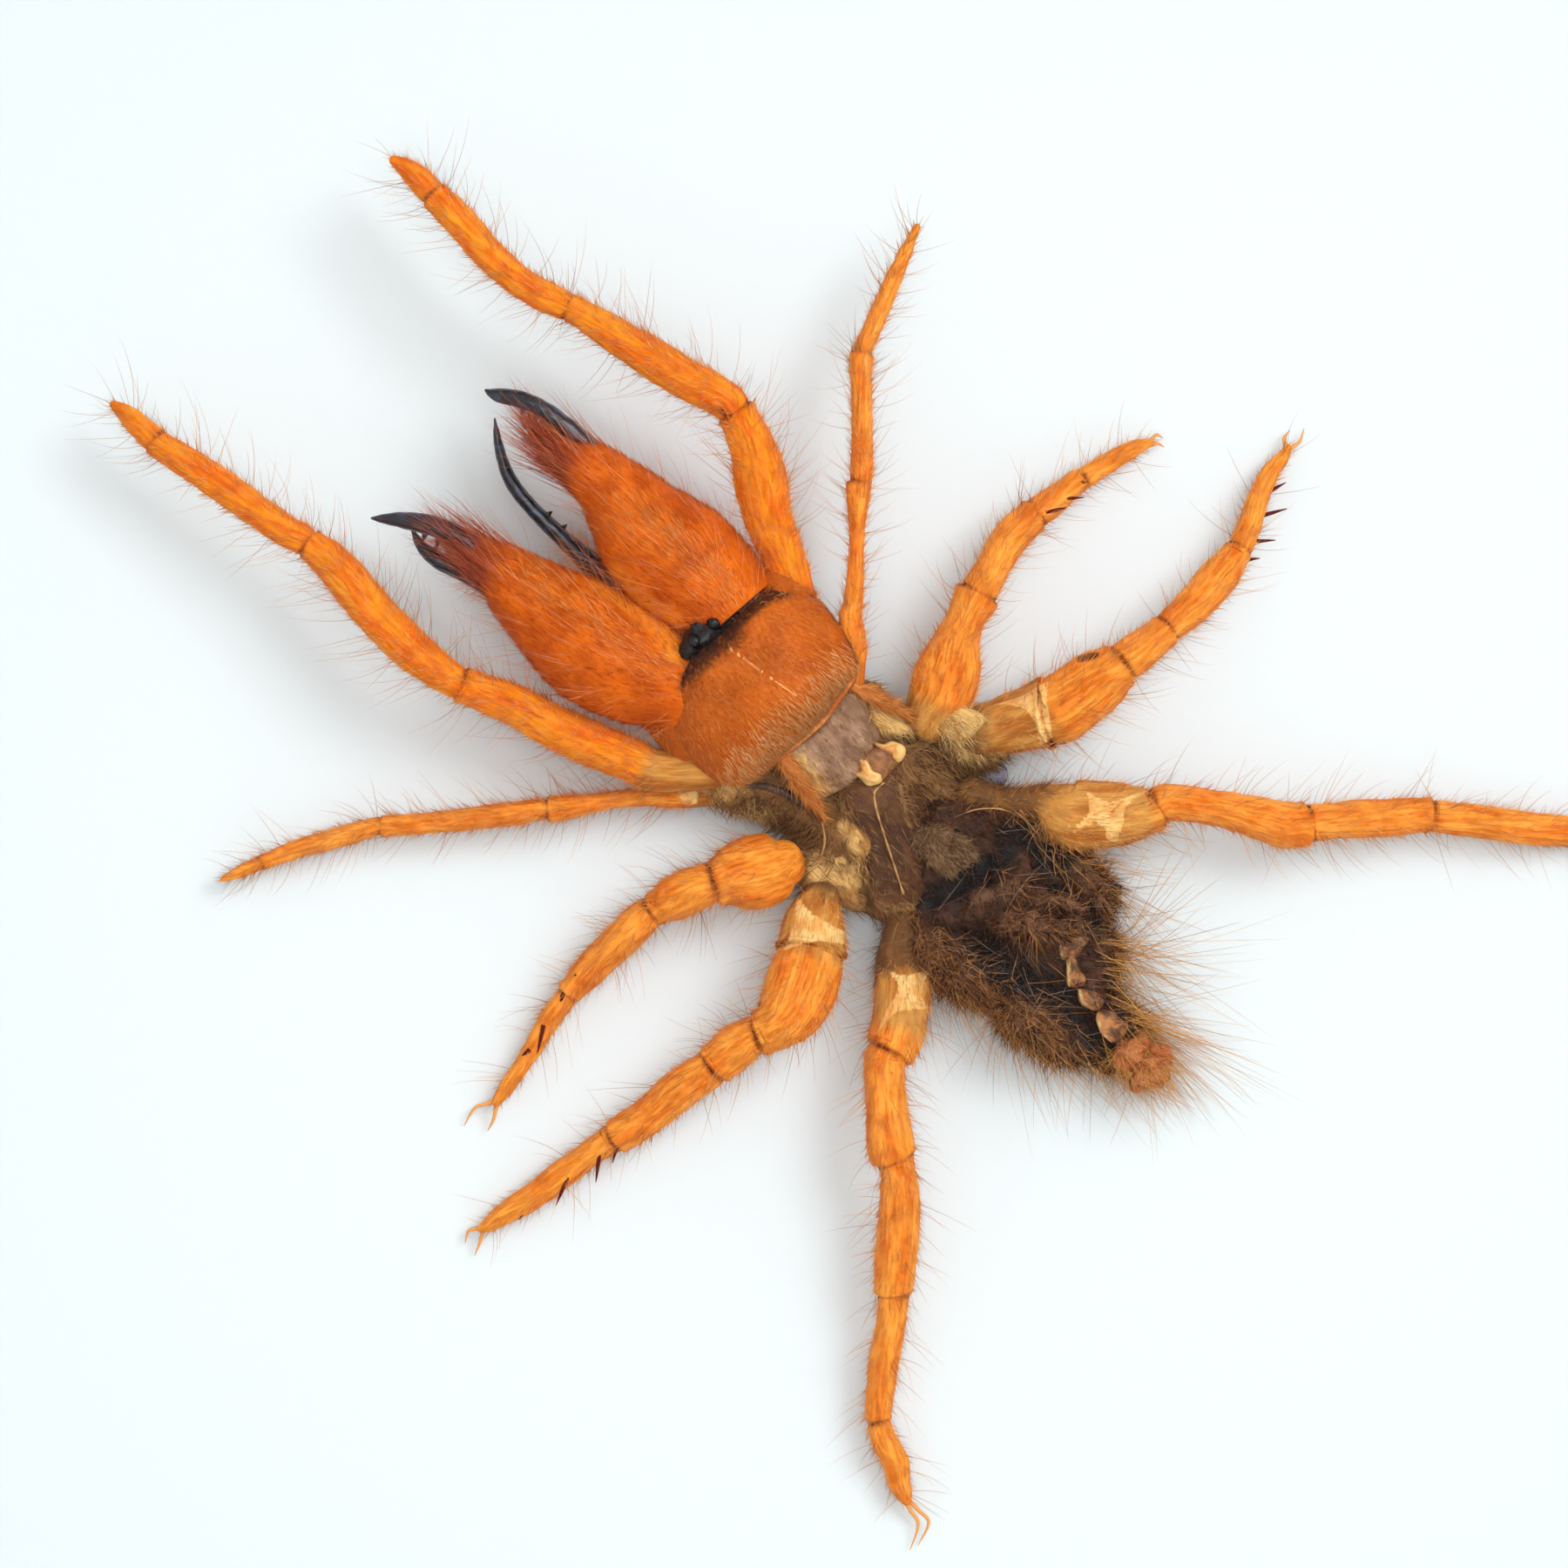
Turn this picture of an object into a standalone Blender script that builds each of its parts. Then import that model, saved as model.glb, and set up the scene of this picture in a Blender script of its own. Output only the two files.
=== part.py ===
"""Framed camel spider specimen.

A dried camel spider is glued to a white card inside a square shadow box frame with a glass front.
The frame lies on its back: +Z is the way the specimen faces, +X is the right of the picture and +Y its
top, and the origin is the middle of the frame's back. Solids are in metres. Sizes below are in
millimetres, and the specimen's places are read off the photograph, in its pixels.
"""

import math

import bmesh
import bpy
from mathutils import Matrix, Vector

MM = 0.001

# The frame, in millimetres
FRAME_SIDE = 180.0
FRAME_DEPTH = 32.0
RAIL_FACE = 12.0
RAIL_WALL = 6.0
FRONT_LIP = 4.3
GLASS_THICK = 2.0
CARD_THICK = 1.5
BACKING_THICK = 3.0
BACK_RECESS = 2.6
SPACER_THICK = 4.0
GAP = 0.3
TAB_LENGTH = 13.0
TAB_IN_WOOD = 3.0
TAB_WIDTH = 8.0
TAB_THICK = 0.4
TAB_PLACES = (-45.0, 45.0)

# The stack between the frame's back and its front lip
CARD_BASE = BACK_RECESS + BACKING_THICK + GAP
CARD_TOP = CARD_BASE + CARD_THICK
GLASS_BASE = FRAME_DEPTH - FRONT_LIP - GAP - GLASS_THICK
REBATE_HALF = FRAME_SIDE / 2 - RAIL_WALL
PANE_SIDE = 2 * (REBATE_HALF - GAP)

# The photograph looks straight down on the card
PHOTO_PIXELS = 1800
CARD_SHOWN = 100.8
CAMERA_ABOVE_CARD = 700.0
FRAME_MIDDLE_PX = (980, 980)
PIXEL = CARD_SHOWN / PHOTO_PIXELS

# Ring sizes of the faceted specimen
LIMB_SIDES = 10
BODY_SIDES = 20
CLAW_SIDES = 5
NECK_SHARE = 0.86

# Each limb is a list of joints' segments, from the body outwards. A segment is a list of stations:
# x and y of its middle in the photograph, then height above the card, width and thickness in mm.
PEDIPALP_RIGHT = (
    ((915, 712, 5.4, 2.7, 2.6), (907, 668, 5.8, 2.9, 2.7), (898, 636, 6.3, 2.8, 2.8), (883, 596, 7.0, 3.1, 2.9),
     (874, 553, 7.8, 3.4, 3.0), (864, 512, 8.6, 2.9, 2.8), (850, 482, 9.0, 2.5, 2.6)),
    ((836, 462, 9.2, 2.4, 2.6), (816, 449, 9.3, 2.5, 2.7), (780, 430, 9.4, 2.6, 2.8), (740, 405, 9.3, 2.5, 2.7),
     (700, 380, 9.2, 2.2, 2.5), (662, 357, 9.1, 1.8, 2.1)),
    ((644, 349, 9.0, 1.9, 2.1), (600, 325, 8.9, 2.0, 2.1), (560, 290, 8.7, 2.0, 2.1), (530, 255, 8.5, 2.1, 2.1),
     (503, 228, 8.3, 1.9, 2.0)),
    ((492, 217, 8.2, 1.8, 1.8), (470, 195, 8.1, 1.4, 1.5), (452, 184, 8.0, 0.6, 0.7)),
)
PEDIPALP_LEFT = (
    ((815, 882, 4.9, 2.6, 2.5), (752, 883, 5.0, 2.8, 2.6), (723, 871, 5.2, 2.8, 2.7), (679, 853, 5.6, 2.9, 2.8),
     (635, 833, 6.0, 2.8, 2.8), (591, 809, 6.4, 2.6, 2.7), (540, 789, 6.8, 2.3, 2.5)),
    ((516, 778, 7.0, 2.2, 2.4), (473, 745, 7.1, 2.7, 2.8), (435, 708, 7.0, 2.7, 2.8), (408, 676, 6.9, 2.7, 2.7),
     (381, 645, 6.8, 2.5, 2.6), (362, 629, 6.7, 2.1, 2.3)),
    ((346, 618, 6.6, 2.0, 2.1), (328, 609, 6.5, 2.0, 2.1), (274, 571, 6.2, 2.1, 2.1), (221, 534, 5.9, 2.0, 2.1),
     (184, 511, 5.7, 1.8, 1.9)),
    ((172, 500, 5.6, 1.7, 1.7), (145, 475, 5.4, 1.2, 1.2), (130, 464, 5.3, 0.5, 0.6)),
)
LEG_1_RIGHT = (
    ((975, 790, 4.9, 1.9, 1.8), (979, 740, 5.3, 1.8, 1.8), (977, 708, 5.8, 1.5, 1.6), (980, 690, 6.0, 1.25, 1.4),
     (983, 646, 6.3, 1.0, 1.2), (984, 601, 6.5, 1.1, 1.3), (986, 562, 6.7, 1.6, 1.6)),
    ((989, 546, 6.7, 1.5, 1.5), (990, 505, 6.7, 1.35, 1.4), (989, 444, 6.6, 1.35, 1.4), (989, 412, 6.5, 1.55, 1.5)),
    ((992, 398, 6.4, 1.3, 1.3), (999, 383, 6.3, 1.2, 1.2), (1021, 332, 5.9, 1.1, 1.15), (1041, 287, 5.5, 0.85, 0.9),
     (1053, 260, 5.3, 0.4, 0.5)),
)
LEG_1_LEFT = (
    ((835, 905, 2.7, 1.9, 1.5), (790, 914, 2.7, 1.5, 1.5), (744, 914, 2.9, 1.3, 1.4), (704, 918, 3.2, 1.1, 1.3),
     (665, 924, 3.3, 1.4, 1.5), (635, 928, 3.3, 1.6, 1.6)),
    ((620, 929, 3.3, 1.4, 1.5), (600, 932, 3.2, 1.5, 1.5), (546, 939, 3.0, 1.45, 1.5), (488, 945, 2.8, 1.35, 1.4),
     (444, 948, 2.6, 1.35, 1.4)),
    ((430, 949, 2.5, 1.25, 1.3), (400, 958, 2.4, 1.3, 1.3), (349, 972, 2.2, 1.2, 1.2), (305, 988, 2.0, 1.0, 1.0)),
    ((294, 993, 2.0, 0.95, 0.95), (272, 1002, 1.9, 0.7, 0.75), (255, 1010, 1.8, 0.35, 0.4)),
)
LEG_2_RIGHT = (
    ((1066, 828, 4.2, 3.4, 3.2), (1080, 800, 4.6, 4.2, 3.6), (1092, 762, 5.0, 4.0, 3.6), (1101, 730, 5.3, 2.8, 3.0),
     (1110, 708, 5.4, 2.5, 2.7), (1120, 688, 5.5, 2.9, 2.7)),
    ((1128, 673, 5.5, 2.4, 2.4), (1138, 655, 5.4, 2.2, 2.3), (1157, 622, 5.0, 2.35, 2.4), (1183, 595, 4.5, 2.2, 2.3)),
    ((1195, 586, 4.3, 2.0, 2.1), (1212, 573, 3.9, 1.8, 1.9), (1236, 554, 3.3, 1.5, 1.6)),
    ((1247, 547, 3.0, 1.4, 1.4), (1275, 530, 2.4, 1.3, 1.3), (1300, 516, 1.9, 1.1, 1.1), (1319, 508, 1.5, 0.6, 0.7)),
)
LEG_2_LEFT = (
    ((911, 992, 4.8, 3.2, 3.2), (898, 996, 4.8, 4.2, 3.8), (868, 1001, 4.7, 4.7, 4.1),
     (840, 1006, 4.8, 4.1, 3.8), (826, 1011, 4.9, 3.1, 3.2)),
    ((812, 1015, 4.9, 2.8, 2.9), (790, 1023, 4.8, 3.0, 3.0), (770, 1033, 4.5, 2.9, 2.9), (756, 1041, 4.2, 2.2, 2.4)),
    ((742, 1050, 4.0, 2.2, 2.3), (722, 1069, 3.7, 2.35, 2.4), (700, 1090, 3.3, 2.25, 2.3), (676, 1114, 2.8, 2.1, 2.1),
     (657, 1135, 2.4, 1.7, 1.7)),
    ((647, 1148, 2.2, 1.5, 1.6), (632, 1168, 2.0, 1.45, 1.5), (615, 1197, 1.7, 1.25, 1.3), (599, 1222, 1.5, 1.1, 1.2),
     (580, 1250, 1.3, 1.0, 1.0), (569, 1266, 1.1, 0.6, 0.6)),
)
LEG_3_RIGHT = (
    ((1112, 846, 4.0, 3.0, 3.2), (1146, 836, 4.2, 3.7, 3.5), (1172, 828, 4.6, 4.0, 3.6), (1196, 821, 5.0, 4.4, 3.8)),
    ((1212, 817, 5.3, 4.5, 3.8), (1240, 798, 5.9, 4.2, 3.8), (1264, 780, 6.3, 4.0, 3.5), (1282, 767, 6.5, 3.1, 3.0)),
    ((1294, 758, 6.4, 2.7, 2.7), (1312, 745, 6.1, 2.5, 2.6), (1332, 729, 5.7, 2.2, 2.4)),
    ((1346, 717, 5.4, 2.1, 2.2), (1373, 693, 4.8, 2.4, 2.4), (1401, 660, 4.1, 2.45, 2.4), (1418, 638, 3.5, 1.9, 2.0)),
    ((1427, 622, 3.2, 1.6, 1.7), (1436, 600, 2.8, 1.55, 1.6), (1445, 570, 2.2, 1.35, 1.4), (1459, 542, 1.7, 1.2, 1.2),
     (1474, 523, 1.3, 0.8, 0.9), (1479, 514, 1.2, 0.5, 0.5)),
)
LEG_3_LEFT = (
    ((955, 1004, 3.0, 2.4, 2.4), (942, 1032, 3.7, 2.8, 3.0), (934, 1060, 4.4, 4.0, 3.6), (931, 1086, 4.8, 4.4, 3.8)),
    ((928, 1102, 5.1, 4.5, 3.9), (919, 1132, 5.5, 4.7, 4.0), (905, 1160, 5.7, 4.3, 3.8), (888, 1177, 5.7, 3.4, 3.3),
     (876, 1184, 5.6, 2.9, 2.9)),
    ((861, 1190, 5.5, 2.7, 2.8), (844, 1202, 5.2, 2.9, 2.9), (825, 1218, 4.8, 2.7, 2.8)),
    ((811, 1229, 4.6, 2.5, 2.6), (781, 1249, 4.0, 2.6, 2.6), (746, 1279, 3.4, 2.4, 2.4), (713, 1301, 2.8, 2.3, 2.2)),
    ((698, 1310, 2.5, 1.9, 1.9), (677, 1324, 2.3, 1.7, 1.8), (646, 1347, 2.0, 1.8, 1.8), (613, 1372, 1.7, 1.7, 1.6),
     (582, 1391, 1.4, 1.45, 1.4), (562, 1405, 1.2, 1.0, 1.0), (552, 1411, 1.1, 0.5, 0.6)),
)
LEG_4_RIGHT = (
    ((1112, 912, 3.5, 2.2, 2.5), (1160, 921, 3.8, 1.9, 2.4), (1196, 921, 4.2, 2.4, 2.8), (1228, 935, 4.5, 4.3, 3.6),
     (1262, 936, 4.6, 4.3, 3.6), (1292, 935, 4.7, 3.9, 3.4), (1320, 930, 4.7, 3.0, 3.0)),
    ((1338, 922, 4.7, 2.4, 2.7), (1400, 929, 4.7, 2.3, 2.7), (1448, 940, 4.6, 2.7, 2.9), (1480, 948, 4.4, 3.0, 2.9)),
    ((1526, 943, 3.9, 2.3, 2.4), (1551, 941, 3.7, 2.45, 2.4), (1600, 939, 3.3, 2.4, 2.3), (1634, 936, 3.0, 2.2, 2.1)),
    ((1652, 938, 2.8, 2.1, 2.0), (1709, 945, 2.3, 2.1, 2.0), (1760, 952, 1.9, 2.1, 1.9), (1805, 955, 1.5, 1.9, 1.6),
     (1838, 957, 1.2, 1.2, 1.1), (1848, 957, 1.1, 0.6, 0.6)),
)
LEG_4_LEFT = (
    ((1040, 1062, 3.4, 2.8, 2.6), (1036, 1100, 3.7, 3.4, 3.1), (1036, 1129, 4.0, 3.6, 3.4), (1033, 1165, 4.3, 3.6, 3.4),
     (1025, 1198, 4.6, 3.4, 3.2)),
    ((1015, 1220, 4.8, 2.7, 2.8), (1018, 1277, 5.1, 2.7, 2.9), (1023, 1320, 5.2, 3.1, 2.9)),
    ((1030, 1342, 5.0, 2.3, 2.6), (1032, 1380, 4.8, 2.6, 2.7), (1028, 1443, 4.2, 2.7, 2.6), (1025, 1477, 3.8, 2.5, 2.4)),
    ((1025, 1495, 3.6, 2.0, 2.1), (1022, 1522, 3.3, 1.9, 2.0), (1015, 1556, 2.9, 1.95, 1.9), (1010, 1600, 2.3, 1.85, 1.8),
     (1008, 1624, 2.0, 1.7, 1.7)),
    ((1010, 1639, 1.9, 1.6, 1.6), (1015, 1655, 1.8, 1.7, 1.7), (1027, 1677, 1.6, 1.7, 1.6), (1032, 1701, 1.4, 1.45, 1.3),
     (1038, 1718, 1.2, 1.0, 1.0), (1041, 1724, 1.15, 0.6, 0.6)),
)

# The jaws: a bulb that narrows to the fixed finger, and a movable finger below it
JAW_RIGHT = (
    ((842, 706, 6.4, 6.4, 7.2), (828, 690, 6.4, 6.9, 7.7), (802, 666, 6.4, 7.5, 8.4), (770, 637, 6.4, 7.8, 8.6),
     (737, 600, 6.5, 6.5, 7.4), (700, 560, 6.7, 4.6, 5.6), (668, 526, 7.0, 3.2, 4.2), (645, 499, 7.4, 2.1, 2.6),
     (630, 485, 7.6, 1.7, 1.9), (614, 474, 7.7, 1.3, 1.5), (591, 462, 7.6, 0.95, 1.1), (572, 456, 7.4, 0.6, 0.7),
     (561, 452, 7.2, 0.25, 0.3)),
)
JAW_LEFT = (
    ((790, 792, 6.0, 5.6, 6.8), (765, 780, 6.1, 6.5, 7.6), (741, 769, 6.1, 7.2, 8.2), (704, 751, 6.2, 7.7, 8.5),
     (668, 729, 6.2, 7.4, 8.2), (636, 703, 6.3, 6.8, 7.4), (607, 675, 6.5, 5.4, 6.2), (580, 652, 6.7, 4.0, 5.0),
     (560, 638, 6.9, 3.1, 4.0), (541, 624, 7.0, 2.1, 2.6), (515, 612, 7.1, 1.5, 1.9), (488, 602, 7.0, 1.2, 1.5),
     (460, 597, 6.8, 0.9, 1.1), (440, 596, 6.6, 0.5, 0.7), (427, 597, 6.4, 0.25, 0.3)),
)
MOVABLE_FINGER_RIGHT = (
    ((704, 664, 4.3, 1.7, 2.4), (668, 637, 4.0, 1.2, 1.8), (630, 603, 4.0, 0.9, 1.3), (599, 572, 4.2, 0.8, 1.1),
     (580, 545, 4.5, 0.75, 1.0), (568, 511, 4.9, 0.65, 0.9), (568, 490, 5.2, 0.4, 0.5), (569, 481, 5.3, 0.2, 0.25)),
)
MOVABLE_FINGER_LEFT = (
    ((600, 700, 4.3, 1.7, 2.3), (568, 677, 4.0, 1.4, 2.0), (545, 662, 4.0, 1.3, 1.6), (520, 649, 4.2, 1.2, 1.4),
     (498, 636, 4.5, 1.0, 1.2), (484, 624, 4.8, 0.8, 1.0), (475, 613, 5.2, 0.5, 0.6), (471, 606, 5.5, 0.2, 0.25)),
)

# The body: head shield, the plates behind it, and the fused hips below both
HEAD_SHIELD = (
    ((820, 719, 6.8, 7.4, 5.0), (830, 731, 7.6, 9.9, 5.8), (840, 753, 8.0, 12.9, 6.4), (862, 777, 8.2, 13.7, 6.8),
     (888, 801, 8.1, 13.3, 6.6), (910, 818, 7.8, 11.8, 6.0), (929, 828, 7.4, 9.1, 5.2), (941, 832, 7.0, 5.0, 4.0)),
)
BACK_PLATES = (
    ((925, 826, 6.4, 6.5, 4.6), (955, 850, 6.5, 8.4, 5.2), (985, 880, 6.4, 9.0, 5.2), (1010, 905, 6.2, 8.5, 4.8),
     (1035, 930, 5.7, 7.0, 4.2)),
)
HIPS = (
    ((812, 733, 4.2, 7.5, 4.0), (850, 775, 4.1, 12.5, 5.2), (895, 830, 4.0, 13.2, 5.4), (940, 872, 3.9, 12.8, 5.4),
     (985, 906, 3.8, 13.8, 5.2), (1030, 932, 3.8, 14.1, 5.0), (1060, 972, 3.7, 11.6, 4.8), (1082, 1000, 3.7, 7.4, 4.0)),
)
EYE_MOUND = (808, 728, 9.6, 1.5)
ABDOMEN = (
    ((1040, 950, 4.0, 6.6, 4.2), (1084, 978, 4.1, 10.2, 5.8), (1123, 1018, 4.1, 12.2, 6.2), (1160, 1058, 4.0, 12.1, 6.2),
     (1186, 1086, 3.9, 11.6, 6.0), (1209, 1114, 3.7, 9.2, 5.6), (1231, 1154, 3.4, 7.2, 5.0), (1253, 1176, 3.2, 5.4, 4.4),
     (1288, 1196, 2.9, 3.9, 3.8), (1320, 1224, 2.7, 3.6, 3.4), (1334, 1236, 2.6, 2.0, 2.2)),
)
# How much the dried abdomen's back is sunk in two furrows beside its middle ridge, and how wide they are
FURROW_DEPTH = 0.28
FURROW_AT = 0.42
FURROW_WIDTH = 0.16

# Spines stand on the feet: base and tip in the photograph, with the height of the base
SPINES = {
    "leg_2_right": ((1197, 588, 1220, 582, 4.0), (1212, 572, 1242, 570, 3.6)),
    "leg_2_left": ((664, 1118, 655, 1140, 2.5), (647, 1139, 641, 1161, 2.2), (624, 1177, 618, 1208, 1.9),
                   (608, 1205, 596, 1215, 1.6)),
    "leg_3_right": ((1451, 567, 1476, 554, 2.1), (1445, 593, 1477, 584, 2.5), (1432, 622, 1464, 620, 3.0),
                    (1422, 643, 1446, 641, 3.4)),
    "leg_3_left": ((712, 1310, 704, 1333, 2.7), (688, 1323, 684, 1355, 2.4), (653, 1347, 638, 1382, 2.0),
                   (618, 1363, 596, 1398, 1.7)),
}
SPINE_RADIUS = 0.17
SPINE_DROP = 0.5

# Claws: root, bend and point in the photograph
CLAWS = {
    "leg_2_right": ((1316, 509, 1328, 499, 1335, 503), (1316, 511, 1329, 509, 1336, 513)),
    "leg_2_left": ((572, 1262, 545, 1272, 533, 1292), (572, 1263, 566, 1286, 560, 1298)),
    "leg_3_right": ((1477, 518, 1474, 503, 1481, 494), (1478, 518, 1492, 507, 1497, 492)),
    "leg_3_left": ((556, 1408, 538, 1413, 534, 1427), (556, 1409, 551, 1426, 545, 1441)),
    "leg_4_right": ((1842, 957, 1861, 947, 1870, 955), (1842, 958, 1861, 963, 1868, 972)),
    "leg_4_left": ((1040, 1718, 1066, 1747, 1054, 1774), (1036, 1718, 1054, 1749, 1045, 1779)),
}
CLAW_RADIUS = 0.19
CLAW_HEIGHTS = (1.15, 0.85, 0.55)

# Limbs whose root is pressed flat by the next limb's
PRESSED_BY = {
    "leg_2_left": "leg_3_left", "leg_2_right": "leg_3_right",
    "leg_1_left": "pedipalp_left", "leg_3_left": "leg_4_left", "leg_3_right": "leg_4_right",
}

GLUE_SPOT = (1146, 889)
GLUE_SIZE = (1.3, 1.6, 1.1)

ORANGE = (0.85, 0.25, 0.03)
RED_ORANGE = (0.62, 0.13, 0.02)
HORN = (0.02, 0.018, 0.025)


def clear_scene():
    for item in list(bpy.data.objects):
        bpy.data.objects.remove(item, do_unlink=True)


def new_collection(name):
    collection = bpy.data.collections.new(name)
    bpy.context.scene.collection.children.link(collection)
    return collection


def material(name, colour, roughness, metallic=0.0, alpha=1.0):
    surface = bpy.data.materials.new(name)
    surface.use_nodes = True
    shader = surface.node_tree.nodes["Principled BSDF"]
    shader.inputs["Base Color"].default_value = (*colour, 1.0)
    shader.inputs["Roughness"].default_value = roughness
    shader.inputs["Metallic"].default_value = metallic
    shader.inputs["Alpha"].default_value = alpha
    return surface


def object_from(name, shape, collection, surface=None):
    """Turns a bmesh into an object of a collection; a cutter has no material and stays hidden."""
    bmesh.ops.recalc_face_normals(shape, faces=shape.faces)
    mesh = bpy.data.meshes.new(name)
    shape.to_mesh(mesh)
    shape.free()
    piece = bpy.data.objects.new(name, mesh)
    collection.objects.link(piece)
    if surface:
        mesh.materials.append(surface)
    else:
        piece.hide_render = True
        piece.display_type = "WIRE"
    return piece


def boolean(piece, other, operation):
    step = piece.modifiers.new(operation.lower(), "BOOLEAN")
    step.operation = operation
    step.solver = "EXACT"
    step.object = other


def box(name, low, high, collection, surface=None):
    """A box from its lowest and highest corner, in millimetres."""
    shape = bmesh.new()
    bmesh.ops.create_cube(shape, size=1.0)
    size = [b - a for a, b in zip(low, high)]
    bmesh.ops.scale(shape, vec=Vector(size) * MM, verts=shape.verts)
    piece = object_from(name, shape, collection, surface)
    piece.location = [(a + b) / 2 * MM for a, b in zip(low, high)]
    return piece


def on_card(px, py, height):
    """Where a point of the photograph lies, in millimetres, when it is this high above the card."""
    shrink = 1 - height / CAMERA_ABOVE_CARD
    middle = PHOTO_PIXELS / 2
    x = (middle - FRAME_MIDDLE_PX[0] + (px - middle) * shrink) * PIXEL
    y = (FRAME_MIDDLE_PX[1] - middle - (py - middle) * shrink) * PIXEL
    return Vector((x, y, CARD_TOP + height))


def with_necks(segments):
    """One run of stations, with a narrower ring wherever two segments of a limb meet."""
    run = list(segments[0])
    for segment in segments[1:]:
        before, after = run[-1], segment[0]
        neck = [(a + b) / 2 for a, b in zip(before, after)]
        neck[3] = min(before[3], after[3]) * NECK_SHARE
        neck[4] = min(before[4], after[4]) * NECK_SHARE
        run += [tuple(neck), *segment]
    return run


def round_section(angle):
    return math.cos(angle), math.sin(angle)


def furrowed_section(angle):
    """A round section whose upper side sinks in two furrows, left and right of the middle."""
    side, up = math.cos(angle), math.sin(angle)
    if up > 0:
        furrow = math.exp(-(((abs(side) - FURROW_AT) / FURROW_WIDTH) ** 2))
        up *= 1 - FURROW_DEPTH * furrow
    return side, up


def loft(name, segments, sides, collection, surface=None, grow=0.0, section=round_section):
    """A closed body through rings at the stations, pointed at both ends; grow adds clearance all round."""
    run = with_necks(segments)
    centres = [on_card(*station[:3]) for station in run]
    shape = bmesh.new()
    rings = []
    for index, (centre, station) in enumerate(zip(centres, run)):
        ahead = centres[min(index + 1, len(run) - 1)] - centres[max(index - 1, 0)]
        across = Vector((0, 0, 1)).cross(ahead).normalized()
        upward = ahead.cross(across).normalized()
        ring = []
        for step in range(sides):
            side, up = section(2 * math.pi * step / sides)
            reach = across * side * (station[3] / 2 + grow) + upward * up * (station[4] / 2 + grow)
            ring.append(shape.verts.new((centre + reach) * MM))
        rings.append(ring)
    for ring, following in zip(rings, rings[1:]):
        for step in range(sides):
            following_step = (step + 1) % sides
            shape.faces.new((ring[step], ring[following_step], following[following_step], following[step]))
    for ring, centre, inner in ((rings[0], centres[0], centres[1]), (rings[-1], centres[-1], centres[-2])):
        width = run[0][3] if ring is rings[0] else run[-1][3]
        outward = (centre - inner).normalized()
        tip = shape.verts.new((centre + outward * (width * 0.3 + grow)) * MM)
        for step in range(sides):
            shape.faces.new((ring[step], ring[(step + 1) % sides], tip))
    return object_from(name, shape, collection, surface)


def claw_stations(root_x, root_y, bend_x, bend_y, point_x, point_y):
    high, middle, low = CLAW_HEIGHTS
    return ((
        (root_x, root_y, high, 2 * CLAW_RADIUS, 2 * CLAW_RADIUS),
        ((root_x + bend_x) / 2, (root_y + bend_y) / 2, (high + middle) / 2, 1.8 * CLAW_RADIUS, 1.8 * CLAW_RADIUS),
        (bend_x, bend_y, middle, 1.4 * CLAW_RADIUS, 1.4 * CLAW_RADIUS),
        (point_x, point_y, low, 0.4 * CLAW_RADIUS, 0.4 * CLAW_RADIUS),
    ),)


def spine_stations(base_x, base_y, tip_x, tip_y, height):
    return ((
        (base_x, base_y, height, 2 * SPINE_RADIUS, 2 * SPINE_RADIUS),
        (tip_x, tip_y, height - SPINE_DROP, 0.4 * SPINE_RADIUS, 0.4 * SPINE_RADIUS),
    ),)


def limb(name, segments, parts, cutters, surface):
    """A pedipalp or leg, with its spines and claws grown on."""
    piece = loft(name, segments, LIMB_SIDES, parts, surface)
    growths = [spine_stations(*spine) for spine in SPINES.get(name, ())]
    growths += [claw_stations(*claw) for claw in CLAWS.get(name, ())]
    for number, stations in enumerate(growths, start=1):
        boolean(piece, loft(f"{name}_growth_{number}", stations, CLAW_SIDES, cutters), "UNION")
    return piece


def eye_mound(name, cutters, grow=0.0):
    px, py, height, radius = EYE_MOUND
    shape = bmesh.new()
    bmesh.ops.create_uvsphere(shape, u_segments=12, v_segments=8, radius=(radius + grow) * MM)
    mound = object_from(name, shape, cutters)
    mound.location = on_card(px, py, height) * MM
    return mound


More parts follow.
